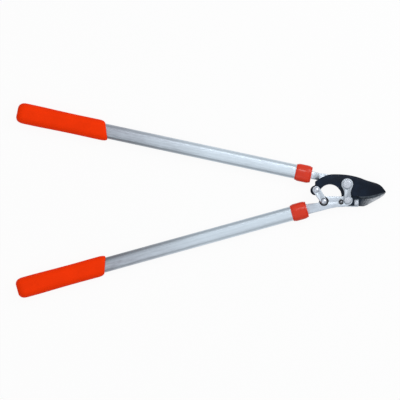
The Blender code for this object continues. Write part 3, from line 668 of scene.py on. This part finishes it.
def brushed_steel(name, angle, factor, colours, sizes):
    """Blanked plate: brushed faces, darker torn edges, small pits and tarnish."""
    surface, tree, shader = start_finish(name, metallic=1.0)
    pitch = 1.0 / sizes.brush_pitch
    lines = streaked(tree, (25.0, pitch, pitch), angle, detail=4.0, roughness=0.65)
    patch = streaked(tree, (40.0, 90.0, 90.0), angle, detail=3.0)
    pits = noise(tree, coords(tree), scale=1500.0, detail=1.0)
    metal = [channel * factor for channel in colours.steel]
    base = mixed(tree, ramp(tree, lines, (0.2, 0.8)), shade(metal, 0.90), shade(metal, 1.08))
    tarnish = mixed(tree, ramp(tree, patch, (0.45, 0.75), (0.0, 0.6)), base, shade(metal, 0.62))
    wall = wall_share(tree)
    cut = mixed(tree, maths(tree, "MULTIPLY", wall, 0.6), tarnish, shade(metal, 0.45))
    rough = ramp(tree, lines, (0.2, 0.8), (0.28, 0.42))
    rough = maths(tree, "ADD", rough, maths(tree, "MULTIPLY", wall, 0.12))
    height = maths(tree, "ADD", lines, maths(tree, "MULTIPLY", pits, 0.4))
    join_up(tree, shader, cut, rough, bump(tree, height, strength=0.14, distance=0.00005))
    return surface


def blade_coat(colours):
    """Dark non-stick coat with fine flecks and a few rubbed streaks."""
    surface, tree, shader = start_finish("blade_coat", specular=0.14)
    place = coords(tree)
    speckle = noise(tree, place, scale=2600.0, detail=2.0, roughness=0.7)
    cloud = noise(tree, place, scale=45.0, detail=3.0, roughness=0.6)
    rub = streaked(tree, (30.0, 700.0, 700.0), RUB_SLOPE, detail=4.0, roughness=0.7)
    tone = ramp(tree, cloud, (0.35, 0.70))
    base = mixed(tree, tone, shade(colours.coat, 0.70), shade(colours.coat, 1.50))
    along = node(tree, "ShaderNodeSeparateXYZ", {"Vector": place}).outputs["X"]
    deeper = ramp(tree, along, BLADE_DEEPER)
    base = mixed(tree, deeper, base, shade(colours.coat, 0.55))
    flecks = ramp(tree, speckle, (0.62, 0.78), (0.0, 0.4))
    flecked = mixed(tree, flecks, base, shade(colours.coat, 4.0))
    rubs = ramp(tree, rub, (0.64, 0.82), (0.0, 0.3))
    rubbed = mixed(tree, rubs, flecked, shade(colours.coat, 5.0))
    rough = ramp(tree, cloud, (0.3, 0.7), (0.42, 0.34))
    join_up(tree, shader, rubbed, rough, bump(tree, speckle, strength=0.16, distance=0.00005))
    return surface


def ground_steel(colours):
    """Ground bevel: lines square to the edge, dark with dried sap."""
    surface, tree, shader = start_finish("ground_steel", metallic=1.0)
    lines = streaked(tree, (2200.0, 40.0, 40.0), GRIND_SLOPE, detail=3.0, roughness=0.6)
    stain = noise(tree, coords(tree), scale=190.0, detail=4.0, roughness=0.65)
    tone = ramp(tree, lines, (0.25, 0.75))
    base = mixed(tree, tone, shade(colours.ground, 0.75), shade(colours.ground, 1.40))
    dried = ramp(tree, stain, (0.45, 0.65), (0.0, 0.8))
    sap = mixed(tree, dried, base, shade(colours.ground, 0.35))
    rough = ramp(tree, lines, (0.2, 0.8), (0.26, 0.42))
    join_up(tree, shader, sap, rough, bump(tree, lines, strength=0.15, distance=0.00004))
    return surface


def hook_coat(colours):
    """Dark coat, worn to bare metal in leaning streaks towards the hook's back."""
    surface, tree, shader = start_finish("hook_coat", metallic=0.75, specular=0.2)
    place = coords(tree)
    along = node(tree, "ShaderNodeSeparateXYZ", {"Vector": place}).outputs["X"]
    out = (math.sin(HOOK_SLOPE), -math.cos(HOOK_SLOPE), 0.0)
    depth = node(tree, "ShaderNodeVectorMath", {0: place, 1: out}, operation="DOT_PRODUCT")
    worn = ramp(tree, depth.outputs["Value"], WEAR_DEPTH)
    jaw = ramp(tree, along, WEAR_START)
    streaks = streaked(
        tree,
        (70.0, 420.0, 420.0),
        STREAK_SLOPE,
        detail=4.0,
        roughness=0.65,
        distortion=0.4,
    )
    mottle = noise(tree, place, scale=330.0, detail=4.0, roughness=0.65)
    leaning = maths(tree, "MULTIPLY", streaks, 0.55)
    both = maths(tree, "ADD", leaning, maths(tree, "MULTIPLY", mottle, 0.45))
    patches = ramp(tree, both, (0.36, 0.60), (-0.55, 0.35))
    bare = maths(tree, "ADD", worn, patches)
    bare = ramp(tree, bare, (0.0, 1.0), (0.05, 1.0))
    bare = maths(tree, "MULTIPLY", jaw, bare)
    chip = noise(tree, place, scale=700.0, detail=3.0, roughness=0.7)
    chips = ramp(tree, chip, (0.66, 0.74), (0.0, 0.4))
    share = maths(tree, "MAXIMUM", bare, chips)
    dark = mixed(tree, mottle, shade(colours.hook, 0.8), shade(colours.hook, 1.6))
    base = mixed(tree, share, dark, shade(colours.worn))
    rough = ramp(tree, share, (0.0, 1.0), (0.50, 0.38))
    join_up(tree, shader, base, rough, bump(tree, both, strength=0.25, distance=0.00008))
    return surface


def zinc_plate(name, colours, factor=1.0):
    """Zinc plating with faint clouds; a factor under 1 makes it duller."""
    surface, tree, shader = start_finish(name, metallic=1.0)
    place = coords(tree)
    cloud = noise(tree, place, scale=260.0, detail=3.0)
    grain = noise(tree, place, scale=2400.0, detail=2.0)
    tone = ramp(tree, cloud, (0.3, 0.7))
    bright = shade(colours.zinc, 1.06 * factor)
    base = mixed(tree, tone, bright, shade(colours.zinc, 0.86 * factor))
    rough = ramp(tree, cloud, (0.3, 0.7), (0.20, 0.34))
    join_up(tree, shader, base, rough, bump(tree, grain, strength=0.08, distance=0.00004))
    return surface


def moulded(name, colour, roughest, grain_size):
    """Dark moulded nylon or rubber with a fine grain."""
    surface, tree, shader = start_finish(name, specular=0.25)
    place = coords(tree)
    grain = noise(tree, place, scale=1.0 / grain_size, detail=3.0, roughness=0.6)
    cloud = ramp(tree, noise(tree, place, scale=300.0, detail=2.0), (0.3, 0.7))
    base = mixed(tree, cloud, shade(colour, 0.8), shade(colour, 1.4))
    rough = ramp(tree, grain, (0.2, 0.8), (roughest - 0.2, roughest))
    join_up(tree, shader, base, rough, bump(tree, grain, strength=0.25, distance=0.00005))
    return surface


def turned_bronze(colours):
    """Sintered bronze with turned lines round it."""
    surface, tree, shader = start_finish("turned_bronze", metallic=1.0)
    lines = streaked(tree, (40.0, 40.0, 3000.0), detail=3.0)
    base = mixed(tree, lines, shade(colours.bronze, 0.8), shade(colours.bronze, 1.15))
    rough = ramp(tree, lines, (0.2, 0.8), (0.25, 0.42))
    join_up(tree, shader, base, rough, bump(tree, lines, strength=0.1, distance=0.00004))
    return surface


# Pieces


def tube_bore(handle, place):
    """The section that clears a handle's tube, and the tube's two ends."""
    low, high = local_box(handle + "_tube", place)
    wide = high.y - low.y
    tall = high.z - low.z
    return opened((wide, tall, tall / 2), GAP), low.x, high.x


def grip_skin(handle, place, inner, sizes):
    """Grip with a leaning, rounded mouth and a blind bore for its tube."""
    low, high = local_box(handle + "_grip", place)
    count = sizes.corner_points
    front = high.x - GRIP_LENGTH
    lean = -inner * math.tan(math.radians(GRIP_LEAN))
    width = high.y - low.y
    height = high.z - low.z
    bore, _, tube_end = tube_bore(handle, place)
    mouth = opened(bore, GRIP_LIP)
    rings = [
        ring_along(place, tube_end + 2 * GAP, section(*bore, count)),
        ring_along(place, front + 2 * GRIP_LIP, section(*bore, count), lean),
        ring_along(place, front + GRIP_LIP / 2, section(*mouth, count), lean),
    ]
    for part, wide, tall in smooth_rows(GRIP_SHARES, GRIP_STEPS):
        left = lean * max(0.0, 1.0 - part / GRIP_LEAN_RUN) ** 2
        size = (width * wide, height * tall, height * tall * GRIP_CORNER)
        rings.append(ring_along(place, front + GRIP_LENGTH * part, section(*size, count), left))
    for share in GRIP_END:
        size = (width * share, height * share, height * share * GRIP_CORNER)
        rings.append(ring_along(place, high.x, section(*size, count)))
    return skin(rings)


def collar_skin(handle, place, sizes):
    """Collar with a bore for the tube, and a slot for the tang in its neck."""
    low, high = local_box(handle + "_collar", place)
    length = high.x - low.x
    count = sizes.corner_points
    bore, tube_start, _ = tube_bore(handle, place)
    step = tube_start - 2 * GAP
    slot = (*NECK_SLOTS[handle + "_collar"], NECK_CORNER)
    rings = []
    for part, wide, tall in smooth_rows(COLLAR_SHARES, COLLAR_STEPS):
        size = ((high.y - low.y) * wide, (high.z - low.z) * tall)
        rings.append(ring_along(place, low.x + length * part, oval(*size, COLLAR_POWER, count)))
    for along, size in (
        (high.x, opened(bore, MOUTH_CUT)),
        (high.x - MOUTH_CUT, bore),
        (step, bore),
        (step, slot),
        (low.x + MOUTH_CUT, slot),
        (low.x, opened(slot, MOUTH_CUT)),
    ):
        rings.append(ring_along(place, along, section(*size, count)))
    return skin(rings, closed=True)


def tube_skin(handle, place, sizes):
    """Oval tube with its ends broken and its cross hole drilled."""
    low, high = local_box(handle + "_tube", place)
    count = sizes.corner_points
    wide = high.y - low.y
    tall = high.z - low.z
    outer = (wide, tall, tall / 2)
    broken = opened(outer, -TUBE_BREAK)
    inner = opened(outer, -TUBE_WALL)
    rings = []
    for along, size in (
        (low.x, inner),
        (low.x, broken),
        (low.x + TUBE_BREAK, outer),
        (high.x - TUBE_BREAK, outer),
        (high.x, broken),
        (high.x, inner),
    ):
        rings.append(ring_along(place, along, section(*size, count)))
    centre, points = reaches(handle + "_tang_pin")
    radius = max(reach for reach, _ in points) + GAP
    drill = turned(centre, ((radius, low.z - GAP), (radius, high.z + GAP)), sizes.turned_points)
    return combined(skin(rings, closed=True), [("DIFFERENCE", drill)])


def plate(name, width):
    """A frame node's own shape with its edges broken."""
    bm = merged(name)
    soften(bm, width)
    return bm


def hexagon(centre, flats, low, high, count, cut_below):
    """Hexagonal prism, and the turned blank whose cones cut its corners."""
    corner = flats / math.sqrt(3.0)
    prism = bmesh.new()
    made = bmesh.ops.create_cone(
        prism,
        cap_ends=True,
        segments=6,
        radius1=corner,
        radius2=corner,
        depth=high - low,
    )
    bmesh.ops.translate(prism, verts=made["verts"], vec=(centre.x, centre.y, (low + high) / 2))
    outer = corner + HEAD_SLACK
    face = flats / 2 * HEAD_FACE
    drop = (outer - face) * math.tan(HEAD_CONE)
    profile = [(face, low), (outer, low + drop)] if cut_below else [(outer, low)]
    profile += [(outer, high - drop), (face, high)]
    return prism, turned(centre, profile, count)


def hex_bolt(name, sizes):
    """Hexagon head with a turned chamfer on a round shank."""
    low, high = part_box(name)
    centre, head, shank, seat = headed(name)
    count = sizes.turned_points
    prism, blank = hexagon(centre, 2 * head, seat, high.z, count, False)
    profile = (
        (shank - SHANK_CHAMFER, low.z),
        (shank, low.z + SHANK_CHAMFER),
        (shank, seat + HEAD_SLACK),
        (shank / 2, seat + 2 * HEAD_SLACK),
    )
    stem = turned(centre, profile, count)
    bm = combined(prism, [("INTERSECT", blank), ("UNION", stem)])
    soften(bm, sizes.edge_round, least=HEXAGON_SOFTEN_FROM)
    return bm


def hex_nut(name, sizes):
    """Hexagon nut with turned chamfers on both faces and round its bore."""
    low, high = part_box(name)
    centre, points = reaches(name)
    bore = min(reach for reach, _ in points)
    count = sizes.turned_points
    prism, blank = hexagon(centre, high.x - low.x, low.z, high.z, count, True)
    wide = bore + 2 * BORE_CHAMFER
    profile = (
        (wide, low.z - BORE_CHAMFER),
        (bore, low.z + BORE_CHAMFER),
        (bore, high.z - BORE_CHAMFER),
        (wide, high.z + BORE_CHAMFER),
    )
    hole = turned(centre, profile, count)
    bm = combined(prism, [("INTERSECT", blank), ("DIFFERENCE", hole)])
    soften(bm, sizes.edge_round, least=HEXAGON_SOFTEN_FROM)
    return bm


def domed_pin(name, sizes):
    """Pin with a low domed head."""
    low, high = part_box(name)
    centre, head, shank, seat = headed(name)
    rise = high.z - seat
    profile = [
        (POLE, low.z),
        (shank - SHANK_CHAMFER, low.z),
        (shank, low.z + SHANK_CHAMFER),
        (shank, seat),
        (head - TURNED_EDGE, seat),
        (head, seat + TURNED_EDGE),
    ]
    for k in range(DOME_STEPS + 1):
        angle = math.radians(90.0) * k / DOME_STEPS
        level = DOME_WALL + (1.0 - DOME_WALL) * math.sin(angle)
        profile.append((max(head * math.cos(angle), POLE), seat + rise * level))
    return turned(centre, profile, sizes.turned_points)


def washer(name, sizes):
    """Washer, spacer or bush with broken edges."""
    low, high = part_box(name)
    centre, points = reaches(name)
    inner = min(reach for reach, _ in points)
    outer = max(reach for reach, _ in points)
    edge = TURNED_EDGE
    profile = (
        (inner, low.z + edge),
        (inner + edge, low.z),
        (outer - edge, low.z),
        (outer, low.z + edge),
        (outer, high.z - edge),
        (outer - edge, high.z),
        (inner + edge, high.z),
        (inner, high.z - edge),
    )
    return turned(centre, profile, sizes.turned_points, closed=True)


def rod(name, sizes):
    """Headless pin or flush rivet."""
    low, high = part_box(name)
    centre, points = reaches(name)
    outer = max(reach for reach, _ in points)
    profile = (
        (POLE, low.z),
        (outer - TURNED_EDGE, low.z),
        (outer, low.z + TURNED_EDGE),
        (outer, high.z - TURNED_EDGE),
        (outer - TURNED_EDGE, high.z),
        (POLE, high.z),
    )
    return turned(centre, profile, sizes.turned_points)


# Operators


def settings():
    """The sizes and the colours that the user has set."""
    scene = bpy.context.scene
    return scene.lopper_sizes, scene.lopper_colours


class LOPPER_OT_grips(bpy.types.Operator):
    """Builds the two soft vinyl grips."""

    bl_idname = "lopper.grips"
    bl_label = "Grips"

    def execute(self, context):
        sizes, colours = settings()
        vinyl = soft_vinyl(colours, sizes)
        for handle, place, inner, body in HANDLES:
            name = handle + "_grip"
            bm = grip_skin(handle, place, inner, sizes)
            piece(name + "_skin", bm, [vinyl], body, name)
        return {"FINISHED"}


class LOPPER_OT_collars(bpy.types.Operator):
    """Builds the two glossy collars."""

    bl_idname = "lopper.collars"
    bl_label = "Collars"

    def execute(self, context):
        sizes, colours = settings()
        glossy = gloss_plastic(colours)
        for handle, place, _, body in HANDLES:
            name = handle + "_collar"
            bm = collar_skin(handle, place, sizes)
            piece(name + "_shell", bm, [glossy], body, name)
        return {"FINISHED"}


class LOPPER_OT_tubes(bpy.types.Operator):
    """Builds the two oval aluminium tubes."""

    bl_idname = "lopper.tubes"
    bl_label = "Tubes"

    def execute(self, context):
        sizes, colours = settings()
        for handle, place, inner, body in HANDLES:
            name = handle + "_tube"
            metal = drawn_aluminium(name + "_metal", place, inner, colours, sizes)
            bm = tube_skin(handle, place, sizes)
            piece(name + "_wall", bm, [metal], body, name)
        return {"FINISHED"}


class LOPPER_OT_plates(bpy.types.Operator):
    """Builds the tangs, the side plate, the clamp block and the links."""

    bl_idname = "lopper.plates"
    bl_label = "Steel plates"

    def execute(self, context):
        sizes, colours = settings()
        between = slope("lever_pivot_bolt", "main_pivot_bolt")
        along_links = slope("blade_link_pin", "lever_link_pin")
        # Each plate: its name, its body, the slope of its brushed lines, its brightness
        for name, body, angle, factor in (
            ("upper_tang", "hook_handle", UPPER.to_euler().z, 1.0),
            ("lower_tang", "lever_handle", LOWER.to_euler().z, 0.95),
            ("side_plate", "hook_handle", between, 0.64),
            ("hook_clamp", "hook_handle", between, 0.58),
            ("front_link", "links", along_links, 0.80),
            ("rear_link", "links", along_links, 0.80),
        ):
            steel = brushed_steel(name + "_steel", angle, factor, colours, sizes)
            bm = plate(name, sizes.edge_round)
            piece(name + "_face", bm, [steel], body, name)
        return {"FINISHED"}


class LOPPER_OT_jaws(bpy.types.Operator):
    """Builds the coated blade with its ground bevel, and the hook."""

    bl_idname = "lopper.jaws"
    bl_label = "Blade and hook"

    def execute(self, context):
        sizes, colours = settings()
        coat = blade_coat(colours)
        ground = ground_steel(colours)
        bm = plate("cutting_blade", sizes.edge_round)
        bm.normal_update()
        for face in bm.faces:
            leaning = BEVEL_UPRIGHT[0] < face.normal.z < BEVEL_UPRIGHT[1]
            face.material_index = int(leaning and face.calc_area() > BEVEL_LEAST)
        piece("cutting_blade_face", bm, [coat, ground], "blade", "cutting_blade")
        worn = hook_coat(colours)
        bm = plate("hook_plate", sizes.edge_round)
        piece("hook_face", bm, [worn], "hook_handle", "hook_plate")
        return {"FINISHED"}


class LOPPER_OT_fasteners(bpy.types.Operator):
    """Builds the bolts, nuts, washers, pins and rivets."""

    bl_idname = "lopper.fasteners"
    bl_label = "Fasteners"

    def execute(self, context):
        sizes, colours = settings()
        zinc = zinc_plate("zinc_plate", colours)
        dull = zinc_plate("dull_zinc", colours, DULL_ZINC)
        hook, lever, blade = "hook_handle", "lever_handle", "blade"
        for shape, suffix, body, finish, names in (
            (hex_bolt, "_solid", hook, zinc, ("main_pivot_bolt", "lever_pivot_bolt", "hook_screw")),
            (hex_nut, "_solid", hook, zinc, ("main_nut", "lever_pivot_nut", "hook_screw_nut")),
            (hex_nut, "_solid", lever, zinc, ("lever_link_nut",)),
            (hex_nut, "_solid", blade, zinc, ("blade_link_nut",)),
            (domed_pin, "_solid", lever, zinc, ("lever_link_pin",)),
            (domed_pin, "_solid", blade, zinc, ("blade_link_pin",)),
            (domed_pin, "_solid", lever, dull, ("bumper_screw",)),
            (washer, "_ring", hook, zinc, ("main_washer", "lever_pivot_washer", "hook_screw_washer")),
            (washer, "_ring", lever, dull, ("lever_link_washer",)),
            (washer, "_ring", lever, zinc, ("lever_link_rear_washer",)),
            (washer, "_ring", blade, zinc, ("blade_link_rear_washer", "blade_link_spacer")),
            (rod, "_rod", hook, zinc, ("upper_tang_pin",)),
            (rod, "_rod", lever, zinc, ("lower_tang_pin",)),
            (rod, "_rod", hook, zinc, ("hook_rivet_front", "hook_rivet_rear")),
        ):
            for name in names:
                bm = shape(name, sizes)
                piece(name + suffix, bm, [finish], body, name, FASTENER_SHARP_FROM)
        return {"FINISHED"}


class LOPPER_OT_bearings(bpy.types.Operator):
    """Builds the bushes, the link's nylon spacer and the rubber bumper."""

    bl_idname = "lopper.bearings"
    bl_label = "Bearings and bumper"

    def execute(self, context):
        sizes, colours = settings()
        bronze = turned_bronze(colours)
        nylon = moulded("black_nylon", colours.nylon, roughest=0.55, grain_size=0.0005)
        rubber = moulded("black_rubber", colours.rubber, roughest=0.85, grain_size=0.0004)
        for name, finish, body, slot in (
            ("blade_bush", bronze, "blade", "bush_bronze"),
            ("lever_bush", bronze, "lever_handle", "bush_bronze"),
            # The black of the nylon spacer is partly painted shade: its ring round the link pin
            # stands in for the shade there
            ("lever_link_spacer", nylon, "lever_handle", "black_nylon"),
        ):
            piece(name + "_ring", washer(name, sizes), [finish], body, name)
        bm = plate("lever_bumper", 2 * sizes.edge_round)
        piece("lever_bumper_pad", bm, [rubber], "lever_handle", "lever_bumper")
        return {"FINISHED"}


# Stage

FLOOR_SIZE = 12.0
FLOOR_GAP = 0.0002
FLOOR_COLOUR = (0.80, 0.80, 0.80, 1.0)
FLOOR_WHITE = 0.93  # share of plain white that the camera and gloss see in the floor
SKY_WHITE = 0.35  # the same share for gloss in the sky
SKY_COLOUR = (0.97, 0.985, 1.0, 1.0)
SKY_RISE = (0.10, 0.95)  # how far up the sky begins to brighten, and where it is brightest
SKY_LEVELS = (0.25, 0.83)  # its brightness at those two heights
SKY_LEAN = (0.10, 0.10, 0.0)  # the sky is brighter towards this side

# Square lamps: name, place, what it aims at, width, power, colour
LAMPS = (
    ("key", (0.75, 0.65, 1.2), (-0.15, 0.0, 0.0), 0.9, 8.0, (1.0, 0.99, 0.97)),
    ("top", (-0.05, 0.55, 2.0), (-0.05, 0.0, 0.0), 0.3, 1.8, (1.0, 1.0, 1.0)),
    ("fill", (-1.0, -0.9, 1.6), (-0.25, 0.0, 0.0), 1.2, 3.0, (0.97, 0.99, 1.0)),
)


def floor_finish():
    """Pale floor: white to the camera and in gloss, with the object's shadow."""
    surface = bpy.data.materials.new("studio_floor")
    surface.use_nodes = True
    tree = surface.node_tree
    tree.nodes.clear()
    out = node(tree, "ShaderNodeOutputMaterial")
    matt = node(tree, "ShaderNodeBsdfDiffuse", {"Color": FLOOR_COLOUR})
    glow = node(tree, "ShaderNodeEmission", {"Color": (1.0, 1.0, 1.0, 1.0), "Strength": 1.0})
    path = node(tree, "ShaderNodeLightPath").outputs
    seen = maths(tree, "MAXIMUM", path["Is Camera Ray"], path["Is Glossy Ray"])
    seen = maths(tree, "MAXIMUM", seen, path["Is Transmission Ray"])
    share = maths(tree, "MULTIPLY", seen, FLOOR_WHITE)
    mix = node(tree, "ShaderNodeMixShader", {0: share, 1: matt.outputs[0], 2: glow.outputs[0]})
    tree.links.new(mix.outputs[0], out.inputs["Surface"])
    return surface


def studio_world():
    """Sky that brightens upwards and to one side, and is white to the camera."""
    world = bpy.data.worlds.new("studio")
    world.use_nodes = True
    tree = world.node_tree
    way = node(tree, "ShaderNodeTexCoord").outputs["Generated"]
    up = node(tree, "ShaderNodeSeparateXYZ", {"Vector": way}).outputs["Z"]
    side = node(tree, "ShaderNodeVectorMath", {0: way, 1: SKY_LEAN}, operation="DOT_PRODUCT")
    level = ramp(tree, up, SKY_RISE, SKY_LEVELS)
    level = maths(tree, "ADD", level, side.outputs["Value"])
    path = node(tree, "ShaderNodeLightPath").outputs
    gloss = maths(tree, "MAXIMUM", path["Is Glossy Ray"], path["Is Transmission Ray"])
    gloss = maths(tree, "MULTIPLY", gloss, SKY_WHITE)
    white = maths(tree, "MAXIMUM", path["Is Camera Ray"], gloss)
    level = mixed_number(tree, white, level, 1.0)
    back = tree.nodes["Background"]
    back.inputs["Color"].default_value = SKY_COLOUR
    tree.links.new(level, back.inputs["Strength"])
    return world


def lamp(name, place, target, width, power, colour):
    """A square lamp that faces its target."""
    data = bpy.data.lights.new(name, "AREA")
    data.shape = "SQUARE"
    data.size = width
    data.energy = power
    data.color = colour
    obj = bpy.data.objects.new(name, data)
    obj.location = place
    aim = Vector(target) - Vector(place)
    obj.rotation_euler = aim.to_track_quat("-Z", "Y").to_euler()
    bpy.context.scene.collection.objects.link(obj)


class LOPPER_OT_stage(bpy.types.Operator):
    """Builds the floor, the light and the camera of the photograph's view."""

    bl_idname = "lopper.stage"
    bl_label = "Stage"

    def execute(self, context):
        scene = context.scene
        bm = bmesh.new()
        bmesh.ops.create_grid(bm, x_segments=1, y_segments=1, size=FLOOR_SIZE / 2)
        bmesh.ops.translate(bm, verts=bm.verts, vec=(*PICTURE_CENTRE, -FLOOR_GAP))
        ground = loose("floor", bm)
        ground.data.materials.append(floor_finish())
        scene.world = studio_world()
        for row in LAMPS:
            lamp(*row)

        camera = bpy.data.cameras.new("camera")
        camera.type = "ORTHO"
        camera.ortho_scale = PIXEL * PICTURE_WIDTH
        view = bpy.data.objects.new("camera", camera)
        view.location = (*PICTURE_CENTRE, CAMERA_HEIGHT)
        scene.collection.objects.link(view)
        scene.camera = view
        scene.view_settings.view_transform = "Standard"
        return {"FINISHED"}


OPERATORS = (
    LOPPER_OT_stage,
    LOPPER_OT_grips,
    LOPPER_OT_collars,
    LOPPER_OT_tubes,
    LOPPER_OT_plates,
    LOPPER_OT_jaws,
    LOPPER_OT_fasteners,
    LOPPER_OT_bearings,
)


class LOPPER_PT_panel(bpy.types.Panel):
    """Lists the sizes, the colours and the pieces."""

    bl_idname = "LOPPER_PT_panel"
    bl_label = "Lopper"
    bl_space_type = "VIEW_3D"
    bl_region_type = "UI"
    bl_category = "Lopper"

    def draw(self, context):
        layout = self.layout
        for group in (context.scene.lopper_sizes, context.scene.lopper_colours):
            box = layout.box()
            for key in group.__annotations__:
                box.prop(group, key)
        for operator in OPERATORS:
            layout.operator(operator.bl_idname)


CLASSES = (LopperSizes, LopperColours, *OPERATORS, LOPPER_PT_panel)


def register():
    """Adds the add-on's classes and its settings."""
    for cls in CLASSES:
        bpy.utils.register_class(cls)
    bpy.types.Scene.lopper_sizes = PointerProperty(type=LopperSizes)
    bpy.types.Scene.lopper_colours = PointerProperty(type=LopperColours)


def unregister():
    """Takes the classes and the settings away again."""
    del bpy.types.Scene.lopper_colours
    del bpy.types.Scene.lopper_sizes
    for cls in reversed(CLASSES):
        bpy.utils.unregister_class(cls)


def main():
    """Builds the stage and every piece."""
    register()
    bpy.ops.lopper.stage()
    bpy.ops.lopper.grips()
    bpy.ops.lopper.collars()
    bpy.ops.lopper.tubes()
    bpy.ops.lopper.plates()
    bpy.ops.lopper.jaws()
    bpy.ops.lopper.fasteners()
    bpy.ops.lopper.bearings()


if __name__ == "__main__":
    main()
